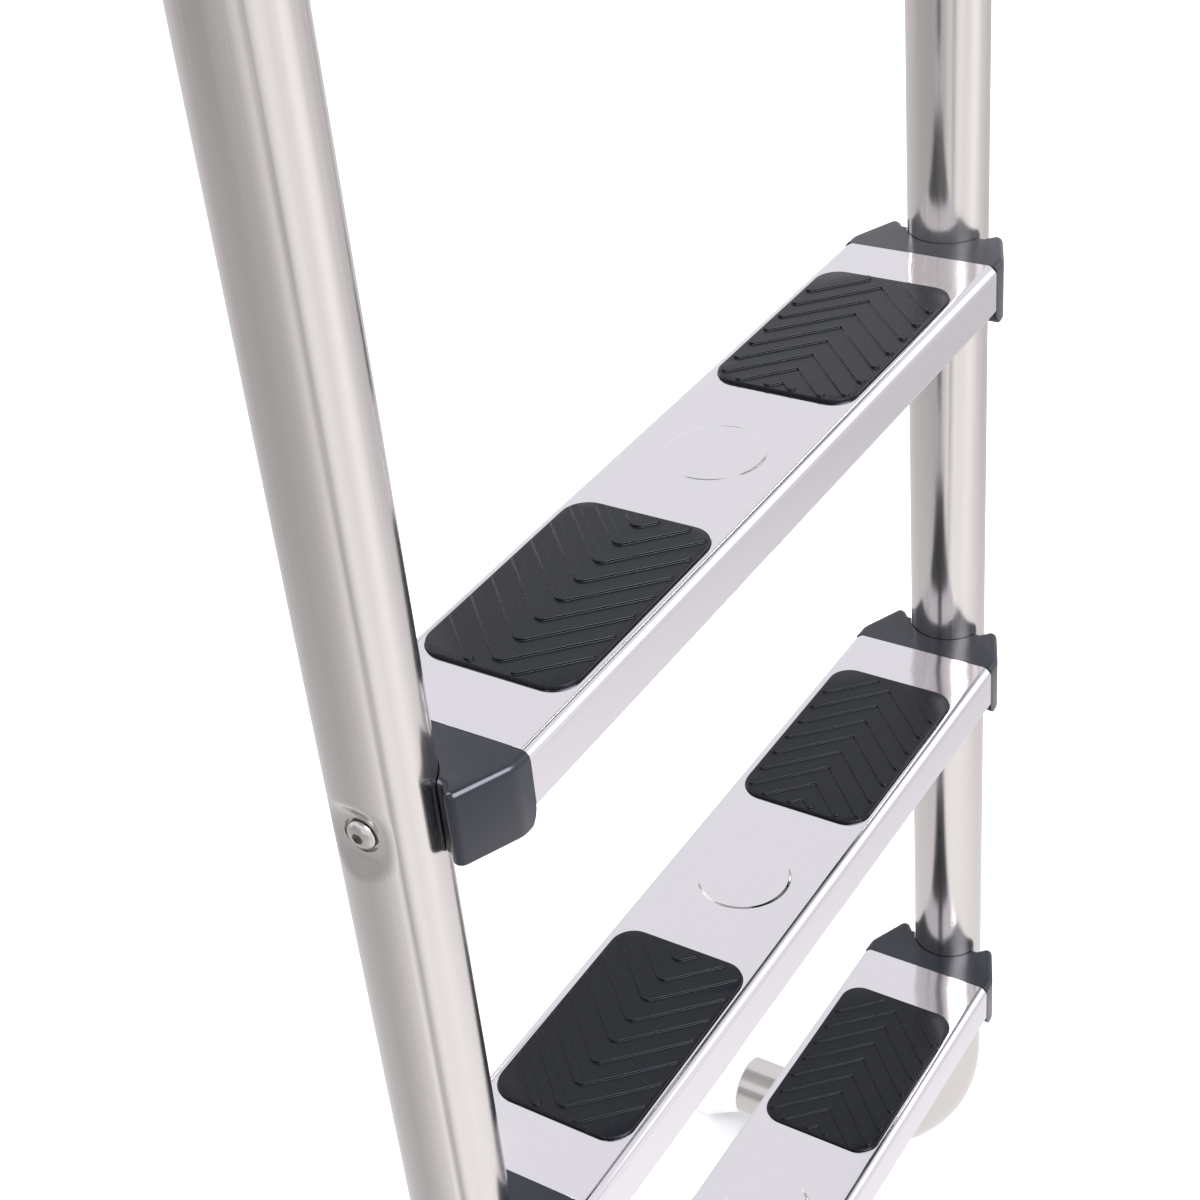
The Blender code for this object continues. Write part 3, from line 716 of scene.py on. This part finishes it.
def rib_outlines(sizes, apex):
    """Plans of one V rib with its point at x = apex, or of its two arms where the point is off the pad."""
    half = sizes.rib_width / 2
    inner = apex + 2 * half * math.sqrt(2)
    middle = apex + half * math.sqrt(2)
    margin = 1.2 * MM + half
    reaches = [i * 0.25 * MM for i in range(240)]
    # The arms run at 45 degrees, so a reach along the tread is the same reach across it.
    inside = [reach for reach in reaches if in_field(middle + reach, reach, margin)]
    if not inside or inside[-1] - inside[0] < 2 * half:
        return []
    start, end = inside[0], inside[-1]
    upper = arc((middle + end, end), half, -45, 135, 10)
    lower = arc((middle + end, -end), half, 225, 405, 10)
    if start == 0:
        return [[(inner, 0.0)] + upper + arc((inner, 0.0), 2 * half, 135, 225, 10) + lower]
    return [
        upper + arc((middle + start, start), half, 135, 315, 10),
        lower + arc((middle + start, -start), half, 45, 225, 10),
    ]


def rib_meshes(sizes, apex):
    """The solid of one V rib, let a little way into the pad so that the two join."""
    low, high = PAD_STANDS - 0.4 * MM, PAD_STANDS + sizes.rib_height
    for outline in rib_outlines(sizes, apex):
        yield prism([(x - PAD_CENTRE_X, RAIL_Y + y) for x, y in outline], low, high, "Z")


def pad_ring(grow_x, grow_y, z):
    """The left pad's outline at a height, moved out by an amount each way."""
    outline = rounded_rectangle(PAD_HALF_X + grow_x, PAD_HALF_Y + grow_y, PAD_CORNER_R + grow_x)
    return [(x - PAD_CENTRE_X, RAIL_Y + y, z) for x, y in outline]


def pad_mesh(sizes):
    """The left pad of a tread whose top is at z = 0: flange, body and V ribs."""
    under = -sizes.sheet - GAP
    rings = [pad_ring(PAD_FLANGE_X, PAD_FLANGE_Y, z) for z in (under - 2 * MM, under)]
    rings.append(pad_ring(0.0, 0.0, under))
    for inward, down in ((0.0, 0.3), (0.04, 0.15), (0.15, 0.04), (0.3, 0.0)):
        rings.append(pad_ring(-inward * MM, -inward * MM, PAD_STANDS - down * MM))
    apexes = [FIRST_RIB - i * sizes.rib_pitch for i in range(sizes.rib_count)]
    ribs = [rib for apex in apexes for rib in rib_meshes(sizes, apex)]
    return combined(skin(rings), "UNION", [joined(ribs)])


class LADDER_OT_pads(bpy.types.Operator):
    """Build the six ribbed rubber pads."""

    bl_idname = "boarding_ladder.pads"
    bl_label = "Pads"

    def execute(self, context):
        mesh = pad_mesh(context.scene.boarding_ladder_sizes)
        for number, side, place in tread_sides():
            piece(
                context, f"pad_{number}_{side}_rubber", mesh, "pad_rubber", "ladder", f"pad_{number}_{side}",
                place, edge=0.35 * MM, sharp=40,
            )
        return {"FINISHED"}


def tread_sides():
    """(tread number, side, place) for the pieces at a tread's ends. The right one is turned half round."""
    about_rail = Matrix.Translation((0.0, RAIL_Y, 0.0)) @ HALF_TURN @ Matrix.Translation((0.0, -RAIL_Y, 0.0))
    for number, top in enumerate(TREAD_TOPS, start=1):
        lift = Matrix.Translation((0.0, 0.0, top))
        yield number, "left", lift
        yield number, "right", lift @ about_rail


def cap_outline():
    """The cap's plan outside the tread, before the tube's saddle is cut, anticlockwise."""
    # Each point is (distance from the tread's middle, distance from its centre line).
    start = TREAD_HALF_LENGTH + GAP
    side = [(start, TREAD_HALF_DEPTH), (222 * MM, TREAD_HALF_DEPTH)]
    side += [(224.5 * MM, 41.7 * MM), (226.5 * MM, 41 * MM)]
    side += arc((245.7 * MM, 28.4 * MM), 3.6 * MM, 66, -40, 8)
    side.append((244.5 * MM, 22.5 * MM))
    other = [(u, -v) for u, v in reversed(side)]
    outline = [(-u, RAIL_Y + v) for u, v in side + other]
    area = sum(a[0] * b[1] - b[0] * a[1] for a, b in zip(outline, outline[1:] + outline[:1]))
    return outline if area > 0 else outline[::-1]


def cap_ring(outline, amount, z):
    """The cap's plan drawn in by an amount at a height, except along the edge that meets the tread."""
    tread_side = -TREAD_HALF_LENGTH - GAP
    ring = []
    for (x, y), (first_x, _) in zip(shrunk(outline, amount), outline):
        ring.append((first_x if math.isclose(first_x, tread_side) else x, y, z))
    return ring


CAP_DEPTH = TREAD_TOPS[0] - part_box("end_cap_1_left")[0].z
SPIGOT_TIP = -200 * MM
NUT_FLATS = 13 * MM
NUT_SEAT = -211 * MM


def cap_spigot():
    """The cap's plug inside the folded tread, with chamfers that clear the tread's folds."""
    half = 40.5 * MM
    section = [(-half, -22 * MM), (-half, -6 * MM), (-half + 4.5 * MM, -1.4 * MM)]
    section += [(half - 4.5 * MM, -1.4 * MM), (half, -6 * MM), (half, -22 * MM)]
    section += [(half - 3 * MM, -25.5 * MM), (-half + 3 * MM, -25.5 * MM)]
    return prism([(RAIL_Y + y, z) for y, z in section], SPIGOT_TIP - 20 * MM, SPIGOT_TIP, "X")


def cap_mesh(sizes):
    """The left end cap of a tread whose top is at z = 0."""
    outline = cap_outline()
    levels = [(0.8 * MM, -CAP_DEPTH), (0.2 * MM, -CAP_DEPTH + 0.25 * MM), (0.0, -CAP_DEPTH + 0.8 * MM)]
    for inward, up in arc((0.0, 0.0), sizes.cap_round, 0, 90, 7):
        levels.append((sizes.cap_round - inward, up - sizes.cap_round))
    body = skin([cap_ring(outline, amount, z) for amount, z in levels])
    body = combined(body, "UNION", [cap_spigot()])
    deep = -CAP_DEPTH - 2 * MM
    under = [(-205 * MM, deep), (-205 * MM, -sizes.skirt_depth)]
    under += [(-u, z) for u, z in arc((226 * MM, -sizes.skirt_depth + 2 * MM), 11 * MM, 190, 270, 10)]
    under.append((-226 * MM, deep))
    saddle = circle(TUBE_R + 0.4 * MM, 96, (-RAIL_X, RAIL_Y))
    bore_at = (RAIL_Y, -BOLT_DROP)
    cutters = [
        prism(under, RAIL_Y - 50 * MM, RAIL_Y + 50 * MM, "Y"),
        prism(saddle, deep, 2 * MM, "Z"),
        prism(circle(BOLT_BORE_R, 24, bore_at), -240 * MM, SPIGOT_TIP + 10 * MM, "X"),
        prism(hexagon(NUT_FLATS + 2 * GAP, bore_at), NUT_SEAT - GAP, SPIGOT_TIP + 10 * MM, "X"),
    ]
    return combined(body, "DIFFERENCE", cutters)


class LADDER_OT_end_caps(bpy.types.Operator):
    """Build the six black end caps between treads and rails."""

    bl_idname = "boarding_ladder.end_caps"
    bl_label = "End caps"

    def execute(self, context):
        mesh = cap_mesh(context.scene.boarding_ladder_sizes)
        for number, side, place in tread_sides():
            piece(
                context, f"end_cap_{number}_{side}_moulding", mesh, "cap_plastic", "ladder",
                f"end_cap_{number}_{side}", place, edge=0.35 * MM, sharp=38,
            )
        return {"FINISHED"}


def bolt_mesh(sizes):
    """The left tread bolt, its domed head down in the rail's seat."""
    seat = -(RAIL_X + TUBE_R) + sizes.seat_depth - 0.1 * MM
    tip = SPIGOT_TIP - 1.3 * MM
    top = seat - 4.4 * MM
    shank = 4 * MM
    head = 6.5 * MM
    rim = seat - 1.2 * MM
    profile = [(0, tip), (shank - 0.6 * MM, tip), (shank, tip - 0.6 * MM), (shank, seat)]
    profile += [(head - 0.2 * MM, seat), (head, seat - 0.3 * MM), (head, rim)]
    for turn in range(9, 64, 9):
        slope = math.radians(turn)
        profile.append((head * math.cos(slope), rim - 3.2 * MM * math.sin(slope)))
    profile.append((0, top + 0.3 * MM))
    centre = (RAIL_Y, -BOLT_DROP)
    socket = prism(hexagon(4.4 * MM, centre), top - 2 * MM, top + 4.6 * MM, "X")
    return combined(turned(profile, "X", centre), "DIFFERENCE", [socket])


def nut_mesh():
    """The left hexagon nut, its corners chamfered at both ends."""
    centre = (RAIL_Y, -BOLT_DROP)
    block = prism(hexagon(NUT_FLATS, centre), NUT_SEAT, NUT_SEAT + 6.5 * MM, "X")
    profile = [(0, -1.0), (6.6, -1.0), (7.6, 0.6), (7.6, 5.9), (6.6, 7.0), (0, 7.0)]
    trim = turned([(r * MM, NUT_SEAT + x * MM) for r, x in profile], "X", centre)
    bore = prism(circle(BOLT_BORE_R, 32, centre), NUT_SEAT - 19 * MM, NUT_SEAT + 21 * MM, "X")
    return combined(combined(block, "INTERSECT", [trim]), "DIFFERENCE", [bore])


class LADDER_OT_tread_bolts(bpy.types.Operator):
    """Build the socket-head bolts and nuts that hold the treads."""

    bl_idname = "boarding_ladder.tread_bolts"
    bl_label = "Tread bolts and nuts"

    def execute(self, context):
        bolt = bolt_mesh(context.scene.boarding_ladder_sizes)
        nut = nut_mesh()
        for number, side, place in tread_sides():
            for name, mesh in (("tread_bolt", bolt), ("tread_nut", nut)):
                node = f"{name}_{number}_{side}"
                piece(context, f"{node}_steel", mesh, "fasteners", "ladder", node, place, sharp=30)
        return {"FINISHED"}


def both_sides(context, name, label, mesh, slot, body, right=ACROSS, edge=0.0, sharp=32):
    """A left piece and its like on the right, slid a rail spacing across or turned half round."""
    for side, place in (("left", None), ("right", right)):
        node = f"{name}_{side}"
        piece(context, f"{node}_{label}", mesh, slot, body, node, place, edge, sharp)


class LADDER_OT_bumpers(bpy.types.Operator):
    """Build the flared bumpers on the rails' lower ends."""

    bl_idname = "boarding_ladder.bumpers"
    bl_label = "Bumpers"

    def execute(self, context):
        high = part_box("bumper_left")[1]
        radius = high.x + RAIL_X
        face = high.y - RAIL_Y
        end = LOWER_LEG_END + GAP
        deep = LOWER_LEG_END - 25 * MM
        profile = [(0, deep), (SPIGOT_R - 1.5 * MM, deep), (SPIGOT_R, deep + 1.5 * MM), (SPIGOT_R, end)]
        profile += [(TUBE_R, end), (22.6 * MM, 162 * MM), (25.0 * MM, 168 * MM), (29.0 * MM, 176 * MM)]
        profile += [(radius, face - 5 * MM), (radius, face - 1.5 * MM), (radius - 1.5 * MM, face)]
        profile += [(radius - 5 * MM, face), (radius - 6 * MM, face - 1.2 * MM), (0, face - 1.2 * MM)]
        shifted = [(r, RAIL_Y + y) for r, y in eased(profile, 1.2 * MM)]
        mesh = turned(shifted, "Y", (-RAIL_X, LOWER_LEG_Z))
        both_sides(context, "bumper", "moulding", mesh, "bumper_plastic", "ladder")
        return {"FINISHED"}


def foot_mesh():
    """The left hinge foot: a tongue between the ears, a collar, and a spigot up the tube."""
    half = 20 * MM
    tongue = arc((0.0, PIVOT_Z), half, 180, 360, 40)
    tongue += [(half, PIVOT_Z + 24.5 * MM), (-half, PIVOT_Z + 24.5 * MM)]
    block = prism(tongue, -RAIL_X - half, -RAIL_X + half, "X")
    collar = [(0, 24.0), (23.0, 24.0), (23.5, 24.5), (23.5, 29.5), (23.0, 30.0)]
    profile = [(r * MM, PIVOT_Z + z * MM) for r, z in collar]
    spigot_top = PIVOT_Z + 75.5 * MM
    profile += [(SPIGOT_R, PIVOT_Z + COLLAR_TOP), (SPIGOT_R, spigot_top - 1 * MM)]
    profile += [(SPIGOT_R - 1 * MM, spigot_top), (0, spigot_top)]
    body = combined(block, "UNION", [turned(profile, "Z", (-RAIL_X, 0.0))])
    pin = prism(circle(PIN_BORE_R, 40, (0.0, PIVOT_Z)), -RAIL_X - 30 * MM, -RAIL_X + 30 * MM, "X")
    screw = prism(circle(3.3 * MM, 32, (-RAIL_X, PIVOT_Z + FOOT_SCREW_UP)), 8.5 * MM, 30 * MM, "Y")
    return combined(body, "DIFFERENCE", [pin, screw])


class LADDER_OT_hinge_feet(bpy.types.Operator):
    """Build the hinge feet in the rails' inboard ends, with their screws."""

    bl_idname = "boarding_ladder.hinge_feet"
    bl_label = "Hinge feet"

    def execute(self, context):
        foot = foot_mesh()
        both_sides(context, "hinge_foot", "casting", foot, "hinge_steel", "ladder", edge=0.5 * MM, sharp=40)
        seat = TUBE_R + GAP
        profile = [(0, 10 * MM), (3 * MM, 10 * MM), (3 * MM, seat)]
        head = [(5.2, 0), (5.2, 0.8), (4.6, 2.2), (3.4, 3.2), (2.0, 3.3), (2.0, 1.5), (0, 1.5)]
        profile += [(r * MM, seat + y * MM) for r, y in head]
        screw = turned(profile, "Y", (-RAIL_X, PIVOT_Z + FOOT_SCREW_UP))
        both_sides(context, "foot_screw", "steel", screw, "fasteners", "ladder")
        return {"FINISHED"}


def base_mesh():
    """The left deck base: a plate with countersunk screw holes and two ears for the hinge pin."""
    low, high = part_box("deck_base_left")
    half_x = (high.x - low.x) / 2
    half_y = (high.y - low.y) / 2
    thick = 6 * MM
    outline = [(x - RAIL_X, y) for x, y in rounded_rectangle(half_x, half_y, 12 * MM)]
    ear_r = high.z - PIVOT_Z
    ear = [(-ear_r, thick - 2 * MM), (-ear_r, PIVOT_Z)]
    ear += arc((0.0, PIVOT_Z), ear_r, 180, 0, 40)[1:]
    ear += [(ear_r, thick - 2 * MM)]
    ears = []
    for near, far in ((-27.5, -21.5), (21.5, 27.5)):
        ears.append(prism(ear, near * MM - RAIL_X, far * MM - RAIL_X, "X"))
    body = combined(prism(outline, 0.0, thick, "Z"), "UNION", [joined(ears)])
    drills = [prism(circle(PIN_BORE_R, 40, (0.0, PIVOT_Z)), -RAIL_X - 40 * MM, -RAIL_X + 40 * MM, "X")]
    hole, sunk = 2.75 * MM, 5.6 * MM
    sink = [(0, -2 * MM), (hole, -2 * MM), (hole, thick - 2.6 * MM), (sunk, thick + 0.3 * MM)]
    sink += [(sunk, thick + 2 * MM), (0, thick + 2 * MM)]
    for x in (-42 * MM, 42 * MM):
        for y in (-27 * MM, 27 * MM):
            drills.append(turned(sink, "Z", (x - RAIL_X, y), steps=40))
    return combined(body, "DIFFERENCE", [joined(drills)])


class LADDER_OT_deck_bases(bpy.types.Operator):
    """Build the deck bases."""

    bl_idname = "boarding_ladder.deck_bases"
    bl_label = "Deck bases"

    def execute(self, context):
        both_sides(
            context, "deck_base", "casting", base_mesh(), "hinge_steel", "deck_bases", edge=0.6 * MM, sharp=40
        )
        return {"FINISHED"}


def washer(outer, low, high):
    """A washer on the left hinge pin, between two distances from the rail's middle."""
    chamfer = 0.2 * MM
    profile = [(PIN_BORE_R, low), (outer - chamfer, low), (outer, low + chamfer), (outer, high - chamfer)]
    profile += [(outer - chamfer, high), (PIN_BORE_R, high)]
    return turned([(r, x - RAIL_X) for r, x in profile], "X", (0.0, PIVOT_Z), ring=True)


class LADDER_OT_hinge_pins(bpy.types.Operator):
    """Build the hinge pins and the washers on them."""

    bl_idname = "boarding_ladder.hinge_pins"
    bl_label = "Hinge pins and washers"

    def execute(self, context):
        profile = [(0, 32.8), (6.0, 32.8), (8.0, 31.0), (8.0, 27.8), (5.0, 27.8), (5.0, -42.2), (4.2, -43.0)]
        profile += [(0, -43.0)]
        shifted = [(r * MM, x * MM - RAIL_X) for r, x in eased(profile, 0.8)]
        pin = turned(shifted, "X", (0.0, PIVOT_Z))
        both_sides(context, "hinge_pin", "steel", pin, "fasteners", "deck_bases", HALF_TURN)
        plain = washer(9 * MM, -29.8 * MM, -27.8 * MM)
        both_sides(context, "pin_washer", "steel", plain, "fasteners", "deck_bases", HALF_TURN)
        inner = washer(16 * MM, 20.3 * MM, 21.2 * MM)
        both_sides(context, "slip_washer_a", "nylon", inner, "washer_plastic", "deck_bases")
        outer = washer(16 * MM, -21.2 * MM, -20.3 * MM)
        both_sides(context, "slip_washer_b", "nylon", outer, "washer_plastic", "deck_bases")
        return {"FINISHED"}


def knob_ring(scale, x):
    """The six-lobed outline of a clamp knob at one distance along its pin."""
    ring = []
    steps = 144
    for i in range(steps):
        turn = 2 * math.pi * i / steps
        radius = scale * (18.5 * MM + 1.5 * MM * math.cos(6 * turn))
        ring.append((x, radius * math.cos(turn), radius * math.sin(turn)))
    return ring


class LADDER_OT_knobs(bpy.types.Operator):
    """Build the lobed clamp knobs on the hinge pins."""

    bl_idname = "boarding_ladder.knobs"
    bl_label = "Clamp knobs"

    def execute(self, context):
        lobes = [(0.88, -36.2), (0.95, -36.5), (0.99, -37.3), (1.0, -38.5), (1.0, -47.2), (0.985, -48.6)]
        lobes += [(0.94, -49.5), (0.86, -50.0), (0.60, -50.0), (0.56, -49.4), (0.20, -49.2)]
        head = skin([knob_ring(scale, x * MM) for scale, x in lobes])
        hub = [(0, -30.1), (10.4, -30.1), (11, -30.7), (11, -40), (0, -40)]
        body = combined(head, "UNION", [turned([(r * MM, x * MM) for r, x in hub], "X", (0.0, 0.0))])
        bore = prism(circle(PIN_BORE_R, 40), -44.5 * MM, -20 * MM, "X")
        mesh = combined(body, "DIFFERENCE", [bore])
        left = Matrix.Translation((-RAIL_X, 0.0, PIVOT_Z))
        right = Matrix.Translation((RAIL_X, 0.0, PIVOT_Z)) @ HALF_TURN
        for side, place in (("left", left), ("right", right)):
            node = f"clamp_knob_{side}"
            piece(context, f"{node}_moulding", mesh, "knob_plastic", f"knob_{side}", node, place)
        return {"FINISHED"}


FLOOR_Z = CAD_BOX[0].z - 0.5 * MM
FLOOR_HALF = 12.0
CEILING_Z = 3.0
# Where the lights aim, and where the camera stands from the first tread's middle with the directions of its
# picture's right and up. The last two were fitted to the lines of the treads and rails.
LIGHT_AIM = Vector((0.0, RAIL_Y, -0.4))
CAMERA_FROM_TREAD = Vector((-0.704667, -0.425059, 0.483702))
CAMERA_RIGHT = Vector((0.539483, -0.835644, -0.103238))
CAMERA_UP = Vector((0.511429, 0.227808, 0.828579))


def glossy_card(name, points, faces, radiances):
    """A card that only reflections see, with a brightness at each of its points."""
    mesh = bpy.data.meshes.new(name)
    mesh.from_pydata(points, [], faces)
    layer = mesh.attributes.new("radiance", "FLOAT", "POINT")
    layer.data.foreach_set("value", radiances)
    material = bpy.data.materials.new(name)
    material.use_nodes = True
    tree = material.node_tree
    tree.nodes.clear()
    level = add(tree, "ShaderNodeAttribute", {"attribute_name": "radiance"})
    glow = add(tree, "ShaderNodeEmission", {"Color": [1.0, 0.98, 0.99, 1.0]}, {"Strength": (level, "Fac")})
    add(tree, "ShaderNodeOutputMaterial", links={"Surface": (glow, "Emission")})
    mesh.materials.append(material)
    card = bpy.data.objects.new(name, mesh)
    bpy.context.scene.collection.objects.link(card)
    card.visible_camera = False
    card.visible_diffuse = False
    card.visible_transmission = False
    card.visible_shadow = False


# What the metal reflects instead of the bare floor: heading from the left rail in degrees, then the
# brightness close to the ladder and far from it.
FLOOR_TONES = (
    (0, 1.10, 0.72), (20, 0.95, 0.80), (50, 0.90, 0.80), (110, 0.74, 0.60), (150, 0.64, 0.55),
    (177, 0.76, 0.60), (195, 0.92, 0.66), (206, 0.98, 0.78), (213, 1.05, 0.95), (216, 1.35, 1.00),
    (221, 1.35, 1.00), (225, 0.60, 0.60), (231, 0.60, 0.60), (237, 1.10, 1.10), (246, 1.30, 1.25),
    (265, 1.25, 1.10), (290, 1.30, 1.40), (315, 1.25, 0.95), (340, 1.15, 0.76),
)
# Radius of each ring of the floor card, and how far its tone has gone from close to far.
FLOOR_RINGS = ((0.02, 0.0), (0.5, 0.0), (1.0, 0.5), (1.6, 1.0), (9.0, 1.0))


def floor_card():
    """A card on the floor whose tone changes with heading and distance from the left rail."""
    points = []
    tones = []
    for radius, share in FLOOR_RINGS:
        for heading, near, far in FLOOR_TONES:
            x, y = heading_point((-RAIL_X, RAIL_Y), heading, radius)
            points.append((x, y, FLOOR_Z + 2 * MM))
            tones.append(near + (far - near) * share)
    count = len(FLOOR_TONES)
    faces = []
    for low in range(0, count * (len(FLOOR_RINGS) - 1), count):
        for i in range(count):
            j = (i + 1) % count
            faces.append((low + i, low + j, low + count + j, low + count + i))
    glossy_card("floor_card", points, faces, tones)


def wall_card(name, headings, heights, distance, radiance):
    """An upright card at a distance from the ladder, between two headings and two heights."""
    feet = [heading_point((0.0, RAIL_Y), heading, distance) for heading in headings]
    points = [(*foot, height) for height in heights for foot in feet]
    glossy_card(name, points, [(0, 1, 3, 2)], [radiance] * 4)


def heading_point(start, heading, distance):
    """The point at a heading, in degrees from +X towards +Y, and a distance from a start."""
    turn = math.radians(heading)
    return (start[0] + distance * math.cos(turn), start[1] + distance * math.sin(turn))


class LADDER_OT_studio(bpy.types.Operator):
    """Build the floor, the soft lights, the reflected cards and the camera."""

    bl_idname = "boarding_ladder.studio"
    bl_label = "Studio"

    def execute(self, context):
        scene = context.scene
        mesh = bpy.data.meshes.new("studio_floor")
        square = ((-1, -1), (1, -1), (1, 1), (-1, 1))
        corners = [(x * FLOOR_HALF, y * FLOOR_HALF, FLOOR_Z) for x, y in square]
        mesh.from_pydata(corners, [], [(0, 1, 2, 3)])
        mesh.materials.append(painted_floor(scene.boarding_ladder_colours))
        floor = bpy.data.objects.new("studio_floor", mesh)
        scene.collection.objects.link(floor)
        world = bpy.data.worlds.new("soft_studio")
        world.use_nodes = True
        background = world.node_tree.nodes["Background"]
        background.inputs["Color"].default_value = (0.985, 0.98, 1.0, 1.0)
        background.inputs["Strength"].default_value = 1.05
        scene.world = world
        self.soft_light("key_softbox", (-0.4, -2.1, 2.1), 2.5, 200.0)
        self.soft_light("edge_softbox", (2.2, -2.3, 0.7), 1.9, 7.0)
        self.soft_light("rim_softbox", (1.07, 1.9, 0.74), 0.6, 9.5)
        floor_card()
        ceiling = [(x, y, CEILING_Z) for x, y in ((-2.3, -2.8), (1.5, -2.8), (1.5, 1.4), (-2.3, 1.4))]
        glossy_card("ceiling_card", ceiling, [(0, 1, 2, 3)], [0.42] * 4)
        wall_card("side_card", (-18, 16), (1.9, 4.2), 3.0, 0.38)
        wall_card("left_card", (128, 170), (-0.9, 0.6), 3.0, 0.50)
        self.camera(scene)
        scene.view_settings.view_transform = "Standard"
        scene.view_settings.look = "None"
        return {"FINISHED"}

    def soft_light(self, name, place, size, power):
        """A round soft light aimed at the treads."""
        light = bpy.data.lights.new(name, "AREA")
        light.shape = "DISK"
        light.size = size
        light.energy = power
        lamp = bpy.data.objects.new(name, light)
        lamp.location = place
        aim = LIGHT_AIM - Vector(place)
        lamp.rotation_euler = aim.to_track_quat("-Z", "Y").to_euler()
        lamp.visible_camera = False
        bpy.context.scene.collection.objects.link(lamp)

    def camera(self, scene):
        """A camera above and outside the left rail, looking down along the treads and rolled a little."""
        data = bpy.data.cameras.new("ladder_camera")
        data.sensor_width = 36.0
        data.lens = 64.29
        data.shift_x = 0.0453
        data.shift_y = -0.0168
        data.clip_start = 0.05
        data.clip_end = 60.0
        back = CAMERA_RIGHT.cross(CAMERA_UP)
        turn = Matrix((CAMERA_RIGHT, CAMERA_UP, back)).transposed().to_4x4()
        place = Vector((0.0, RAIL_Y, TREAD_TOPS[0])) + CAMERA_FROM_TREAD
        camera = bpy.data.objects.new("ladder_camera", data)
        camera.matrix_world = Matrix.Translation(place) @ turn
        scene.collection.objects.link(camera)
        scene.camera = camera


class LADDER_PT_panel(bpy.types.Panel):
    """Sizes, colours and the pieces to build."""

    bl_idname = "LADDER_PT_panel"
    bl_label = "Boarding Ladder"
    bl_space_type = "VIEW_3D"
    bl_region_type = "UI"
    bl_category = "Boarding Ladder"

    def draw(self, context):
        layout = self.layout
        for group in (context.scene.boarding_ladder_sizes, context.scene.boarding_ladder_colours):
            box = layout.box()
            for name in group.__annotations__:
                box.prop(group, name)
        for operator in OPERATORS:
            layout.operator(operator.bl_idname)


OPERATORS = (
    LADDER_OT_rails,
    LADDER_OT_treads,
    LADDER_OT_pads,
    LADDER_OT_end_caps,
    LADDER_OT_tread_bolts,
    LADDER_OT_bumpers,
    LADDER_OT_hinge_feet,
    LADDER_OT_deck_bases,
    LADDER_OT_hinge_pins,
    LADDER_OT_knobs,
    LADDER_OT_studio,
)
CLASSES = (LadderSizes, LadderColours, *OPERATORS, LADDER_PT_panel)


def register():
    for made in CLASSES:
        bpy.utils.register_class(made)
    bpy.types.Scene.boarding_ladder_sizes = PointerProperty(type=LadderSizes)
    bpy.types.Scene.boarding_ladder_colours = PointerProperty(type=LadderColours)


def unregister():
    del bpy.types.Scene.boarding_ladder_colours
    del bpy.types.Scene.boarding_ladder_sizes
    for made in reversed(CLASSES):
        bpy.utils.unregister_class(made)


def main():
    register()
    for operator in OPERATORS:
        group, name = operator.bl_idname.split(".")
        getattr(getattr(bpy.ops, group), name)()


if __name__ == "__main__":
    main()
